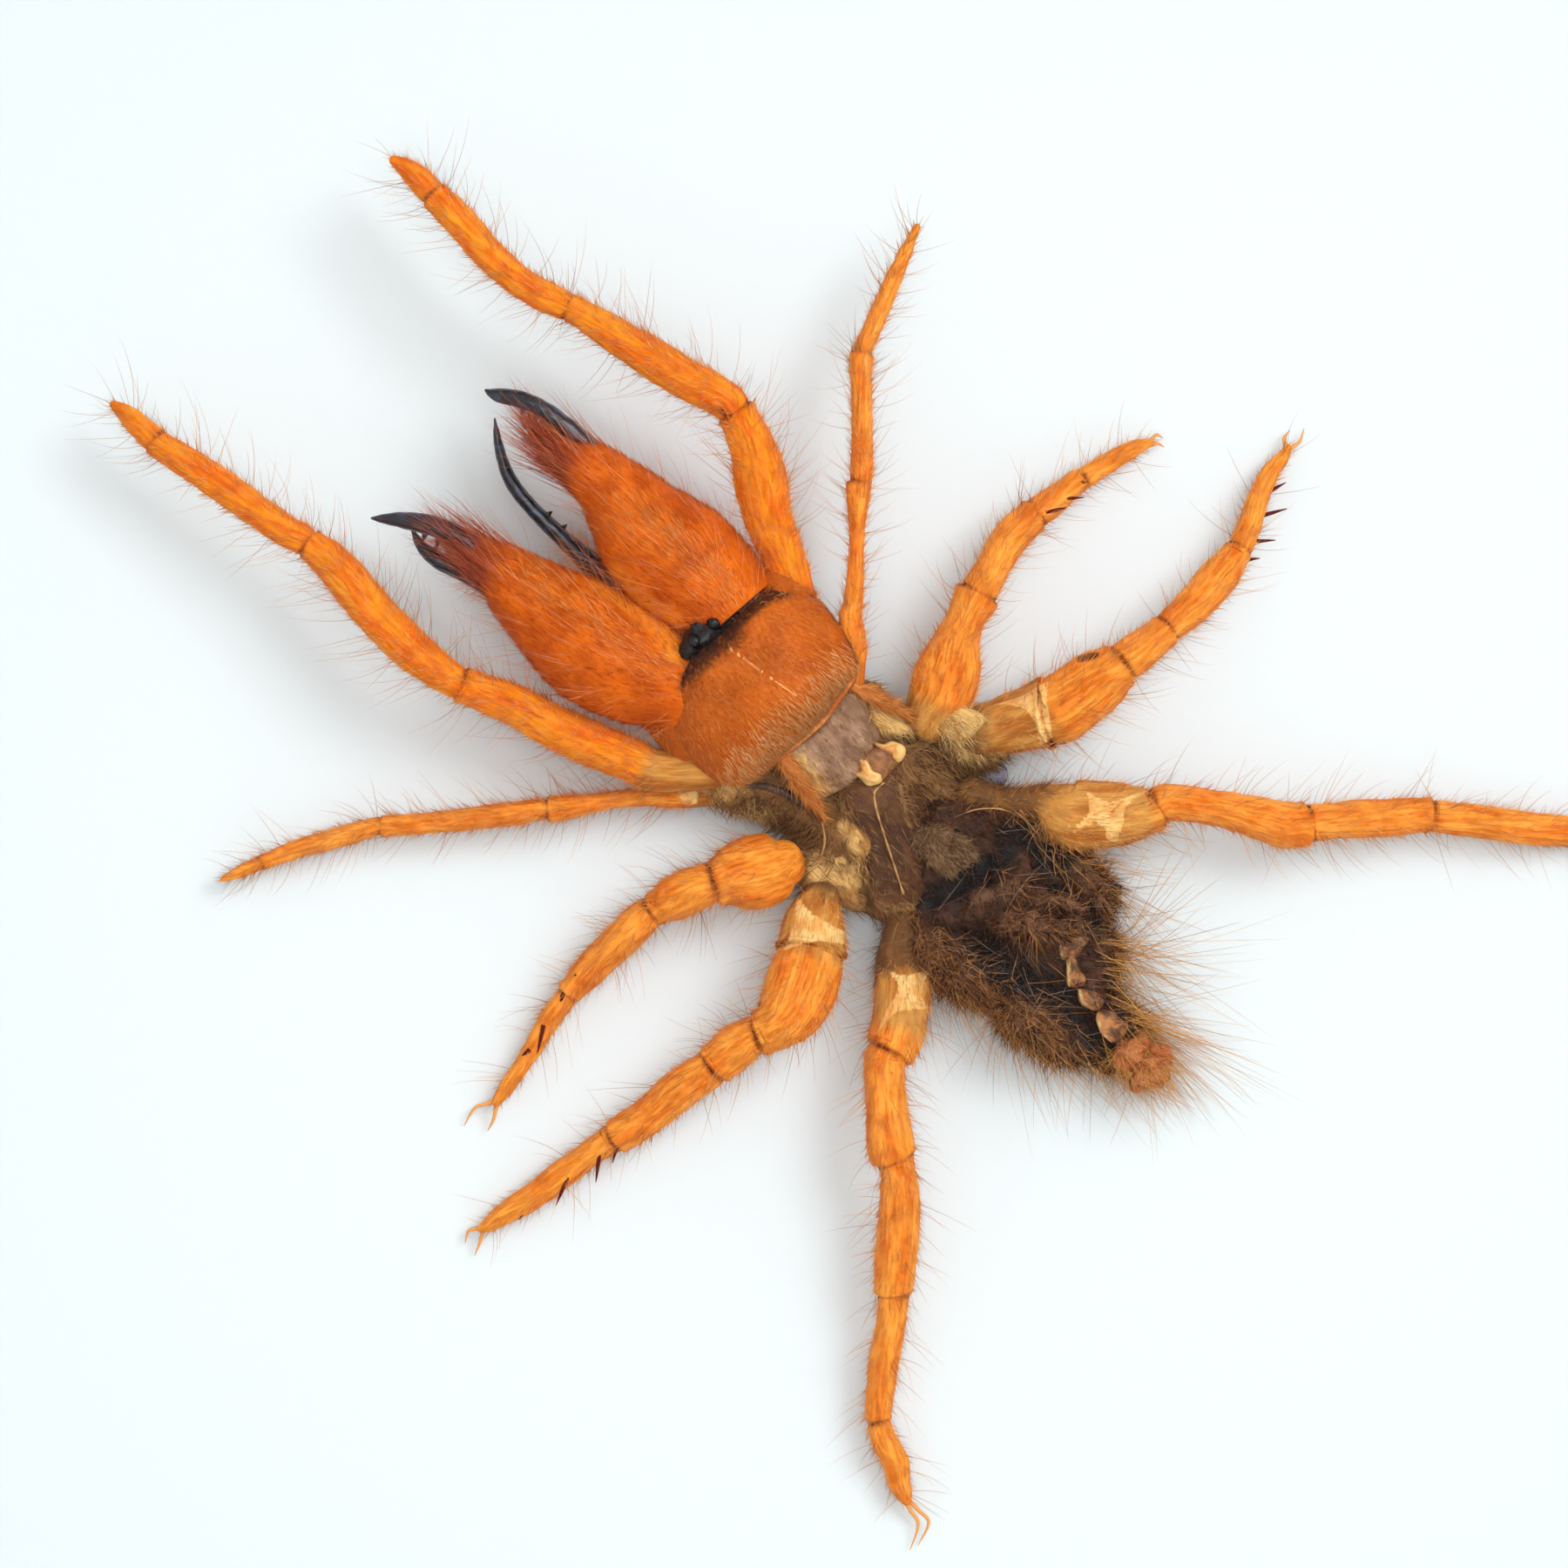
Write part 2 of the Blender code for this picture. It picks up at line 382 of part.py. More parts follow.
def specimen(parts, cutters):
    """The spider: each piece that meets another is cut back from it by the gap."""
    shell = material("shell", RED_ORANGE, 0.45)
    skin = material("skin", ORANGE, 0.4)
    horn = material("horn", HORN, 0.25)
    fur = material("fur", (0.06, 0.035, 0.02), 0.8)

    body = loft("cephalothorax", HEAD_SHIELD, BODY_SIDES, parts, shell)
    for name, stations in (("back_plates", BACK_PLATES), ("hips", HIPS)):
        boolean(body, loft(name, stations, BODY_SIDES, cutters), "UNION")
    boolean(body, eye_mound("eye_mound", cutters), "UNION")
    around_body = [
        loft(f"around_{name}", stations, BODY_SIDES, cutters, grow=GAP)
        for name, stations in (("head_shield", HEAD_SHIELD), ("back_plates", BACK_PLATES), ("hips", HIPS))
    ]
    around_body.append(eye_mound("around_eye_mound", cutters, GAP))

    right_jaw = loft("chelicera_right", JAW_RIGHT, 16, parts, shell)
    left_jaw = loft("chelicera_left", JAW_LEFT, 16, parts, shell)
    around_right_jaw = loft("around_chelicera_right", JAW_RIGHT, 16, cutters, grow=GAP)
    around_left_jaw = loft("around_chelicera_left", JAW_LEFT, 16, cutters, grow=GAP)
    around_jaws = [around_right_jaw, around_left_jaw]
    right_finger = loft("movable_finger_right", MOVABLE_FINGER_RIGHT, 8, parts, horn)
    left_finger = loft("movable_finger_left", MOVABLE_FINGER_LEFT, 8, parts, horn)

    abdomen = loft("abdomen", ABDOMEN, BODY_SIDES, parts, fur, section=furrowed_section)
    around_abdomen = loft("around_abdomen", ABDOMEN, BODY_SIDES, cutters, grow=GAP)

    limbs = {
        "pedipalp_right": PEDIPALP_RIGHT, "pedipalp_left": PEDIPALP_LEFT,
        "leg_1_right": LEG_1_RIGHT, "leg_1_left": LEG_1_LEFT,
        "leg_2_right": LEG_2_RIGHT, "leg_2_left": LEG_2_LEFT,
        "leg_3_right": LEG_3_RIGHT, "leg_3_left": LEG_3_LEFT,
        "leg_4_right": LEG_4_RIGHT, "leg_4_left": LEG_4_LEFT,
    }
    for name, stations in limbs.items():
        piece = limb(name, stations, parts, cutters, skin)
        for cutter in around_body:
            boolean(piece, cutter, "DIFFERENCE")
        if name.startswith("leg_4"):
            boolean(piece, around_abdomen, "DIFFERENCE")
        if name in PRESSED_BY:
            neighbour = PRESSED_BY[name]
            around_neighbour = loft(f"around_{neighbour}", limbs[neighbour], LIMB_SIDES, cutters, grow=GAP)
            boolean(piece, around_neighbour, "DIFFERENCE")
        if name.startswith("pedipalp"):
            for cutter in around_jaws:
                boolean(piece, cutter, "DIFFERENCE")
    for piece in (right_jaw, left_jaw, abdomen):
        for cutter in around_body:
            boolean(piece, cutter, "DIFFERENCE")
    boolean(left_jaw, around_right_jaw, "DIFFERENCE")
    for piece in (right_finger, left_finger):
        for cutter in around_jaws:
            boolean(piece, cutter, "DIFFERENCE")


def glue_spot(parts):
    """The clear lump of glue beside the hip of the fourth leg."""
    clear = material("glue", (0.8, 0.78, 0.85), 0.1, alpha=0.6)
    shape = bmesh.new()
    bmesh.ops.create_uvsphere(shape, u_segments=12, v_segments=8, radius=0.5 * MM)
    bmesh.ops.scale(shape, vec=GLUE_SIZE, verts=shape.verts)
    spot = object_from("glue_spot", shape, parts, clear)
    spot.location = on_card(*GLUE_SPOT, GAP + GLUE_SIZE[2] / 2) * MM


def rail(name, turn, parts, cutters, surface):
    """One mitred rail with a rebate at its back for the glass, card and boards, and slots for two tabs."""
    half = FRAME_SIDE / 2
    profile = (
        (0, 0), (RAIL_WALL, 0), (RAIL_WALL, FRAME_DEPTH - FRONT_LIP), (RAIL_FACE, FRAME_DEPTH - FRONT_LIP),
        (RAIL_FACE, FRAME_DEPTH), (0, FRAME_DEPTH),
    )
    shape = bmesh.new()
    first = [shape.verts.new(((inward + GAP / 2 - half) * MM, (inward - half) * MM, z * MM)) for inward, z in profile]
    face = shape.faces.new(first)
    grown = bmesh.ops.extrude_face_region(shape, geom=[face])["geom"]
    for vertex in grown:
        if isinstance(vertex, bmesh.types.BMVert):
            vertex.co.x = -vertex.co.x
    piece = object_from(name, shape, parts, surface)
    piece.rotation_euler.z = turn
    for place in TAB_PLACES:
        low = (place - TAB_WIDTH / 2 - GAP, -REBATE_HALF - TAB_IN_WOOD - GAP, tab_base() - GAP)
        high = (place + TAB_WIDTH / 2 + GAP, -REBATE_HALF + 1, tab_base() + TAB_THICK + GAP)
        slot = box(f"{name}_slot_{place:+.0f}", low, high, cutters)
        slot.matrix_world = Matrix.Rotation(turn, 4, "Z") @ Matrix.Translation(slot.location)
        boolean(piece, slot, "DIFFERENCE")


def tab_base():
    return BACK_RECESS - GAP - TAB_THICK


def spacer(name, turn, length, parts, surface):
    """A strip that holds the glass off the card, hidden under the frame's lip."""
    low = (-length / 2, -REBATE_HALF + GAP, CARD_TOP + GAP)
    high = (length / 2, -REBATE_HALF + GAP + SPACER_THICK, GLASS_BASE - GAP)
    strip = box(name, low, high, parts, surface)
    strip.matrix_world = Matrix.Rotation(turn, 4, "Z") @ Matrix.Translation(strip.location)


def frame(parts, cutters):
    wood = material("black_wood", (0.03, 0.025, 0.022), 0.5)
    white = material("white_card", (0.9, 0.92, 0.92), 0.8)
    board = material("backing_board", (0.28, 0.17, 0.09), 0.8)
    steel = material("steel", (0.55, 0.55, 0.56), 0.35, metallic=1.0)
    glass = material("glass", (0.95, 0.97, 0.97), 0.02, alpha=0.15)

    half = PANE_SIDE / 2
    box("backing_board", (-half, -half, BACK_RECESS), (half, half, CARD_BASE - GAP), parts, board)
    box("mount_card", (-half, -half, CARD_BASE), (half, half, CARD_TOP), parts, white)
    box("glass_pane", (-half, -half, GLASS_BASE), (half, half, GLASS_BASE + GLASS_THICK), parts, glass)
    long_strip = PANE_SIDE
    short_strip = PANE_SIDE - 2 * (SPACER_THICK + GAP)
    sides = ("bottom", "right", "top", "left")
    for number, side in enumerate(sides):
        turn = number * math.pi / 2
        rail(f"rail_{side}", turn, parts, cutters, wood)
        spacer(f"spacer_{side}", turn, short_strip if number % 2 else long_strip, parts, white)
        for index, place in enumerate(TAB_PLACES, start=1):
            low = (place - TAB_WIDTH / 2, -REBATE_HALF - TAB_IN_WOOD, tab_base())
            high = (place + TAB_WIDTH / 2, low[1] + TAB_LENGTH, tab_base() + TAB_THICK)
            tab = box(f"fixing_tab_{side}_{index}", low, high, parts, steel)
            tab.matrix_world = Matrix.Rotation(turn, 4, "Z") @ Matrix.Translation(tab.location)


def main():
    clear_scene()
    parts = new_collection("framed_camel_spider_specimen")
    cutters = new_collection("cutters")
    frame(parts, cutters)
    specimen(parts, cutters)
    glue_spot(parts)
    bpy.context.view_layer.update()


main()
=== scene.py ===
"""Looks of the framed camel spider specimen: fine surfaces, hairs, finishes, light and camera."""

from collections import namedtuple
import math

import bpy
import numpy as np
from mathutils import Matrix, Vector, noise


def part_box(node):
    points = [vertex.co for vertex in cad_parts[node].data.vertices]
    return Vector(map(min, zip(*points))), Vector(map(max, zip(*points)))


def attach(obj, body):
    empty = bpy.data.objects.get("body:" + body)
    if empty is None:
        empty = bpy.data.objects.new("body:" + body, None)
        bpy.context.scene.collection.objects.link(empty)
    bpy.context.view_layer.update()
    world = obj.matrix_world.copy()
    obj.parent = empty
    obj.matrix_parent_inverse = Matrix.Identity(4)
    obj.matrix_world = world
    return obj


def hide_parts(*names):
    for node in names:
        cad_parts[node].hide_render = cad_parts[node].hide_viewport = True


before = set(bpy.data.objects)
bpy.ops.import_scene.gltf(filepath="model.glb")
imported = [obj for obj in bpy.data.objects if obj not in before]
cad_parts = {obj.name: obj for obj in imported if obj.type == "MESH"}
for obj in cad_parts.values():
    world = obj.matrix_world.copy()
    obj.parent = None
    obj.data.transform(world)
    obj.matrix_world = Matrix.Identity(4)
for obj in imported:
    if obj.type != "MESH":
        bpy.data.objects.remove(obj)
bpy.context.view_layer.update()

MM = 0.001
CARD_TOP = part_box("mount_card")[1].z / MM
GLASS_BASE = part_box("glass_pane")[0].z / MM

# The photograph looks straight down on the card
PHOTO_PIXELS = 1800
CARD_SHOWN = 100.8
CAMERA_ABOVE_CARD = 700.0
FRAME_MIDDLE_PX = np.array((980.0, 980.0))
PIXEL = CARD_SHOWN / PHOTO_PIXELS
MIDDLE_PX = PHOTO_PIXELS / 2
TAILWARD = (0.707, -0.707, 0.0)
BODY_TURN = math.radians(45)

# The frame's corners: the mitre glue's inward places, heights and half thickness in mm, and the worn edges
FRAME_HALF = 90.0
MITRE_INWARD = (0.12, 5.98, 11.9)
MITRE_HEIGHTS = (0.12, 27.72, 31.88)
MITRE_HALF = 0.07
MITRES = (("top_left", -1, 1), ("top_right", 1, 1), ("bottom_left", -1, -1), ("bottom_right", 1, -1))
WORN_EDGE = 0.15

# Light: a lamp's name, power in watts, size and place in metres
SKY_COLOUR = (1.0, 0.982, 0.962, 1.0)
SKY_STRENGTH = 0.82
LAMP_COLOUR = (0.96, 1.0, 1.03)
LAMPS = (("key", 4.4, 0.4, (0.46, 0.33, 0.75)), ("overhead", 4.0, 0.6, (0.02, 0.02, 1.2)))
SENSOR = 36.0

# Hairs stay between the card and the glass, and start a little under the skin
HAIR_ABOVE_CARD = 0.06
HAIR_BELOW_GLASS = 0.3
ROOT_DEPTH = 0.03

# Material slot and solid of the pieces on the body
HEAD = ("chitin_red", ("cephalothorax",))
BELLY = ("abdomen_skin", ("abdomen",))

dice = np.random.default_rng(11)


# Shader maths

class Value:
    """A socket that takes part in Python arithmetic."""

    def __init__(self, finish, socket):
        self.finish = finish
        self.socket = socket

    def maths(self, operation, first, second):
        return self.finish.node("ShaderNodeMath", {"operation": operation}, {0: first, 1: second})

    def __add__(self, other):
        return self.maths("ADD", self, other)

    def __sub__(self, other):
        return self.maths("SUBTRACT", self, other)

    def __rsub__(self, other):
        return self.maths("SUBTRACT", other, self)

    def __mul__(self, other):
        return self.maths("MULTIPLY", self, other)

    def __pow__(self, other):
        return self.maths("POWER", self, other)

    __radd__ = __add__
    __rmul__ = __mul__

    def clip(self):
        return self.maths("MINIMUM", self.maths("MAXIMUM", self, 0.0), 1.0)

    def between(self, low, high):
        """0 at low, 1 at high, smooth in between; low may be the higher of the two."""
        sockets = {"Value": self, "From Min": low, "From Max": high}
        return self.finish.node("ShaderNodeMapRange", {"interpolation_type": "SMOOTHSTEP"}, sockets)


class Finish:
    """A material: its Principled shader, and short ways to add the nodes that feed it."""

    def __init__(self, name, **constants):
        self.material = bpy.data.materials.new(name)
        self.material.use_nodes = True
        self.tree = self.material.node_tree
        self.shader = self.tree.nodes["Principled BSDF"]
        for words, value in constants.items():
            self.shader.inputs[words.replace("_", " ").title().replace("Ior", "IOR")].default_value = value

    def node(self, kind, settings=None, sockets=None, output=0):
        made = self.tree.nodes.new(kind)
        for key, value in (settings or {}).items():
            setattr(made, key, value)
        for key, value in (sockets or {}).items():
            self.feed(self.find(made.inputs, key), value)
        return Value(self, self.find(made.outputs, output))

    @staticmethod
    def find(sockets, key):
        """A socket by its number or name, or by its identifier where several share a name."""
        matches = [socket for socket in sockets if socket.identifier == key]
        return matches[0] if matches else sockets[key]

    def feed(self, socket, value):
        if isinstance(value, Value):
            self.tree.links.new(value.socket, socket)
        else:
            socket.default_value = value

    def place(self, per_mm=1.0, stretch=(1.0, 1.0, 1.0), turn=0.0):
        """The object's own coordinates in mm, turned about the upright axis first, times a factor."""
        spot = self.node("ShaderNodeTexCoord", output="Object")
        if turn:
            sockets = {"Vector": spot, "Angle": turn}
            spot = self.node("ShaderNodeVectorRotate", {"rotation_type": "Z_AXIS"}, sockets)
        factors = tuple(per_mm / MM * s for s in stretch)
        return self.node("ShaderNodeVectorMath", {"operation": "MULTIPLY"}, {0: spot, 1: factors})

    def noise(self, per_mm, detail=3.0, roughness=0.55, stretch=(1.0, 1.0, 1.0), turn=0.0, distortion=0.0):
        sockets = {"Vector": self.place(per_mm, stretch, turn), "Scale": 1.0, "Detail": detail,
                   "Roughness": roughness, "Distortion": distortion}
        return self.node("ShaderNodeTexNoise", None, sockets)

    def streaks(self, across, lengthwise, detail=3.0):
        """Noise drawn out along a limb: features a millimetre across it, and a millimetre along it."""
        parts = {"X": self.painted("along") * lengthwise, "Y": self.painted("side") * across,
                 "Z": self.painted("rise") * across}
        spot = self.node("ShaderNodeCombineXYZ", None, parts)
        sockets = {"Vector": spot, "Scale": 1.0, "Detail": detail, "Roughness": 0.6}
        return self.node("ShaderNodeTexNoise", None, sockets)

    def cells(self, per_mm):
        return self.node("ShaderNodeTexVoronoi", None, {"Vector": self.place(per_mm), "Scale": 1.0})

    def painted(self, name):
        return self.node("ShaderNodeAttribute", {"attribute_name": name}, output="Fac")

    def mix(self, first, second, share):
        """A colour between two others."""
        sockets = {"Factor_Float": share, "A_Color": first, "B_Color": second}
        return self.node("ShaderNodeMix", {"data_type": "RGBA"}, sockets, "Result_Color")

    def bump(self, height, distance, strength=1.0):
        sockets = {"Height": height, "Distance": distance * MM, "Strength": strength}
        self.feed(self.shader.inputs["Normal"], self.node("ShaderNodeBump", None, sockets))

    def colour(self, value):
        self.feed(self.shader.inputs["Base Color"], value)

    def roughness(self, value):
        self.feed(self.shader.inputs["Roughness"], value)


def rgb(red, green, blue):
    """An sRGB colour of 0 to 255 a channel, as linear light."""
    channels = [c / 255 for c in (red, green, blue)]
    return (*[c / 12.92 if c <= 0.04045 else ((c + 0.055) / 1.055) ** 2.4 for c in channels], 1.0)


# Finishes

CREAM = rgb(252, 206, 130)
TAN = rgb(204, 148, 74)
DARK_BROWN = rgb(62, 30, 14)


def limb_skin(name, light, deep, joint_tone):
    """Orange limb skin: drawn-out streaks, darker joints, and painted tan, cream and dark patches."""
    finish = Finish(name, specular_ior_level=0.08)
    mottle = finish.noise(0.8, 4.0).between(0.36, 0.66)
    streak = finish.streaks(4.0, 0.6, 4.0).between(0.42, 0.68)
    bands = finish.streaks(1.3, 0.22, 2.0).between(0.4, 0.62)
    skin = finish.mix(light, deep, mottle * 0.4 + bands * 0.6)
    skin = finish.mix(skin, finish.mix(deep, joint_tone, 0.45), streak * 0.45)
    skin = finish.mix(skin, finish.mix(light, CREAM, 0.5), (1.0 - mottle) * (1.0 - streak) * 0.12)
    follicles = finish.cells(3.0).between(0.15, 0.05)
    skin = finish.mix(skin, joint_tone, follicles * 0.5)
    tan = (finish.painted("tan") + (mottle - 0.5) * 0.3).clip()
    skin = finish.mix(skin, finish.mix(TAN, rgb(164, 100, 40), bands), tan * 0.85)
    root = (finish.painted("root") + (mottle - 0.5) * 0.4).between(0.0, 1.1)
    skin = finish.mix(skin, rgb(118, 76, 42), root)
    rough_edge = finish.noise(2.6, 3.0)
    joint = (finish.painted("joint") * (0.55 + rough_edge * 0.9)).clip()
    skin = finish.mix(skin, joint_tone, joint * 0.9)
    cream = (finish.painted("cream") + (rough_edge - 0.5) * 0.7).between(0.2, 0.75)
    skin = finish.mix(skin, finish.mix(CREAM, rgb(236, 164, 84), mottle), cream * 0.9)
    dark = (finish.painted("dark") + (rough_edge - 0.5) * 0.7).between(0.2, 0.9)
    skin = finish.mix(skin, DARK_BROWN, dark * 0.85)
    finish.colour(skin)
    finish.roughness(0.4 + 0.25 * streak - 0.15 * cream)
    finish.bump(1.0 - streak - follicles * 0.5, 0.11, 0.8)
    return finish.material


def jaw_skin():
    finish = Finish("jaw_skin", specular_ior_level=0.08)
    mottle = finish.noise(0.5, 4.0).between(0.35, 0.68)
    streak = finish.streaks(6.0, 0.9, 4.0).between(0.3, 0.72)
    follicles = finish.cells(2.7).between(0.2, 0.06)
    edge = finish.noise(2.0, 3.0)
    skin = finish.mix(rgb(220, 96, 2), rgb(172, 56, 0), mottle)
    skin = finish.mix(skin, rgb(246, 130, 20), streak * 0.35)
    skin = finish.mix(skin, rgb(255, 160, 40), finish.painted("light").between(0.0, 1.0) * 0.6)
    skin = finish.mix(skin, rgb(110, 26, 4), follicles * 0.55)
    tip = (finish.painted("tip") + (edge - 0.5) * 0.5).between(0.25, 0.8)
    skin = finish.mix(skin, rgb(140, 44, 18), tip * 0.6)
    finish.colour(skin)
    finish.roughness(0.4 + 0.25 * streak)
    finish.bump(1.0 - follicles, 0.08, 0.8)
    return finish.material


def horn():
    """Glossy black horn, red-brown where it leaves the jaw, with painted blue-grey reflections and painted
    pinkish-grey highlight streaks.
    """
    finish = Finish("horn", specular_ior_level=0.4, coat_weight=0.35, coat_roughness=0.14)
    edge = finish.noise(1.4, 3.0)
    # Painted reflection: blue-grey patches on the black
    tone = finish.mix(rgb(20, 18, 25), rgb(46, 62, 90), edge.between(0.48, 0.8))
    # Painted highlight: pinkish-grey streaks
    tone = finish.mix(tone, rgb(74, 60, 66), finish.streaks(3.0, 0.4).between(0.5, 0.75) * 0.5)
    finish.colour(finish.mix(tone, rgb(104, 40, 22), finish.painted("root").between(0.35, 0.85)))
    finish.roughness(0.2 + 0.2 * edge)
    finish.bump(finish.noise(5.0, 2.0), 0.02, 0.4)
    return finish.material


def shield_skin():
    finish = Finish("shield_skin", specular_ior_level=0.08)
    mottle = finish.noise(0.35, 5.0).between(0.32, 0.7)
    grain = finish.noise(5.5, 3.0, 0.65, (0.55, 1.0, 1.0), BODY_TURN).between(0.3, 0.75)
    pits = finish.cells(3.4).between(0.2, 0.05)
    edge = finish.noise(2.2, 3.0)
    skin = finish.mix(rgb(186, 80, 2), rgb(148, 52, 0), mottle)
    skin = finish.mix(skin, rgb(240, 140, 40), grain * 0.3)
    skin = finish.mix(skin, rgb(104, 34, 6), pits * 0.6)
    skin = finish.mix(skin, rgb(176, 78, 10), finish.painted("shade").between(0.0, 1.0) * 0.7)
    pale = (finish.painted("pale") + (edge - 0.5) * 0.4).between(0.3, 0.8)
    skin = finish.mix(skin, rgb(252, 178, 106), pale * 0.85)
    dark = (finish.painted("dark") + (edge - 0.5) * 0.6).between(0.15, 0.75)
    skin = finish.mix(skin, rgb(58, 26, 14), dark * 0.92)
    finish.colour(skin)
    finish.roughness(0.44 + 0.2 * grain)
    finish.bump(1.0 - pits, 0.09, 0.9)
    return finish.material


def fold_skin(name, base, deep, gloss=0.35):
    """Thin dried skin between the hard plates, with painted tan and dark places."""
    finish = Finish(name, specular_ior_level=0.12)
    mottle = finish.noise(0.7, 4.0, 0.6, (0.45, 1.0, 1.0), BODY_TURN, 0.5).between(0.32, 0.68)
    fine = finish.noise(4.5, 4.0, 0.65, (0.3, 1.0, 1.0), BODY_TURN).between(0.35, 0.7)
    edge = finish.noise(1.8, 3.0)
    skin = finish.mix(base, deep, mottle)
    tan = (finish.painted("tan") + (edge - 0.5) * 0.9).between(0.3, 0.8)
    skin = finish.mix(skin, finish.mix(rgb(248, 198, 120), rgb(186, 122, 60), mottle), tan)
    skin = finish.mix(skin, finish.mix(deep, DARK_BROWN, 0.5), fine * 0.4)
    dark = (finish.painted("dark") + (edge - 0.5) * 0.9).between(0.3, 0.8)
    finish.colour(finish.mix(skin, rgb(56, 34, 20), dark * 0.8))
    finish.roughness(gloss + 0.3 * fine)
    finish.bump(1.0 - fine, 0.07, 0.8)
    return finish.material


def waxy_skin(name, light, deep):
    finish = Finish(name, specular_ior_level=0.25, coat_weight=0.12, coat_roughness=0.2)
    mottle = finish.noise(1.6, 4.0, 0.6).between(0.35, 0.65)
    rim = (finish.painted("rim") + (mottle - 0.5) * 0.5).between(0.25, 0.85)
    finish.colour(finish.mix(finish.mix(light, deep, mottle), CREAM, rim * 0.75))
    finish.roughness(0.35 + 0.15 * mottle)
    finish.bump(mottle, 0.08, 0.7)
    return finish.material


def abdomen_skin():
    finish = Finish("abdomen_skin", specular_ior_level=0.25)
    mottle = finish.noise(0.8, 5.0, 0.6).between(0.35, 0.68)
    fine = finish.noise(4.5, 2.0, 0.65).between(0.3, 0.75)
    skin = finish.mix(rgb(86, 48, 31), rgb(32, 18, 12), mottle)
    skin = finish.mix(skin, rgb(150, 98, 60), fine * 0.2)
    fluff = finish.painted("fluff").between(0.1, 0.9) * (0.3 + 0.3 * fine)
    skin = finish.mix(skin, rgb(136, 92, 56), fluff)
    skin = finish.mix(skin, rgb(12, 7, 6), finish.painted("dark").between(0.15, 0.75))
    finish.colour(skin)
    finish.roughness(0.6 + 0.25 * fine)
    return finish.material


def granular_skin():
    """The two orange-brown lobes at the tail end."""
    finish = Finish("granular_skin", specular_ior_level=0.25)
    grains = finish.cells(3.2).between(0.05, 0.5)
    mottle = finish.noise(1.2, 4.0).between(0.35, 0.65)
    skin = finish.mix(rgb(240, 150, 84), rgb(190, 92, 36), mottle)
    finish.colour(finish.mix(skin, rgb(96, 42, 16), grains * 0.5))
    finish.roughness(0.5 + 0.2 * grains)
    finish.bump(1.0 - grains, 0.1, 0.8)
    return finish.material


def hair_finish(name, light, deep, rough=0.5):
    finish = Finish(name, roughness=rough, specular_ior_level=0.03)
    finish.colour(finish.mix(light, deep, finish.painted("shade")))
    return finish.material


def black_wood(name, stretch):
    """Wood stained black, with its grain along the rail."""
    finish = Finish(name, specular_ior_level=0.2)
    grain = finish.noise(1.3, 5.0, 0.6, stretch, distortion=0.3).between(0.4, 0.62)
    pores = finish.noise(5.0, 2.0, 0.5, stretch).between(0.6, 0.7)
    tone = finish.mix(rgb(30, 25, 23), rgb(50, 42, 37), grain)
    finish.colour(finish.mix(tone, rgb(12, 10, 9), pores * 0.8))
    finish.roughness(0.42 + 0.14 * grain)
    finish.bump(grain * 0.4 - pores, 0.12, 0.5)
    return finish.material


def white_card():
    finish = Finish("white_card", roughness=0.88, specular_ior_level=0.0)
    fibre = finish.noise(3.0, 0.0)
    finish.colour(finish.mix(rgb(224, 227, 228), rgb(220, 224, 225), fibre))
    return finish.material


def backing_board():
    finish = Finish("backing_board", specular_ior_level=0.3)
    flecks = finish.noise(1.6, 4.0, 0.7).between(0.35, 0.7)
    tone = finish.mix(rgb(126, 92, 60), rgb(98, 68, 42), flecks)
    finish.colour(finish.mix(tone, rgb(160, 128, 92), finish.cells(2.4).between(0.16, 0.05) * 0.6))
    finish.roughness(0.7 + 0.12 * flecks)
    finish.bump(flecks, 0.08, 0.4)
    return finish.material


def steel():
    finish = Finish("steel", metallic=1.0)
    brush = finish.noise(4.0, 3.0, 0.6, (1.0, 0.1, 1.0))
    finish.colour(finish.mix(rgb(178, 178, 180), rgb(150, 150, 153), brush))
    finish.roughness(0.28 + 0.2 * brush)
    finish.bump(brush, 0.01, 0.3)
    return finish.material


def glass():
    """A low-glare pane: lamps pass through it, and it shines only at a flat angle."""
    finish = Finish("glass")
    finish.tree.nodes.remove(finish.shader)
    clear = finish.node("ShaderNodeBsdfTransparent", None, {"Color": (0.985, 0.995, 0.995, 1.0)})
    shine = finish.node("ShaderNodeBsdfGlossy", None, {"Roughness": 0.02, "Color": (0.9, 0.95, 1.0, 1.0)})
    edgewise = finish.node("ShaderNodeLayerWeight", None, {"Blend": 0.5}, "Facing")
    share = edgewise ** 4.0 * 0.5 + 0.001
    both = finish.node("ShaderNodeMixShader", None, {"Fac": share, 1: clear, 2: shine})
    finish.feed(finish.tree.nodes["Material Output"].inputs["Surface"], both)
    return finish.material


def glue():
    finish = Finish("glue", roughness=0.08, ior=1.45, transmission_weight=0.85)
    finish.colour(finish.mix(rgb(236, 230, 244), rgb(214, 205, 226), finish.noise(1.5, 2.0)))
    finish.bump(finish.noise(1.2, 2.0), 0.15, 0.5)
    return finish.material


# Meshes

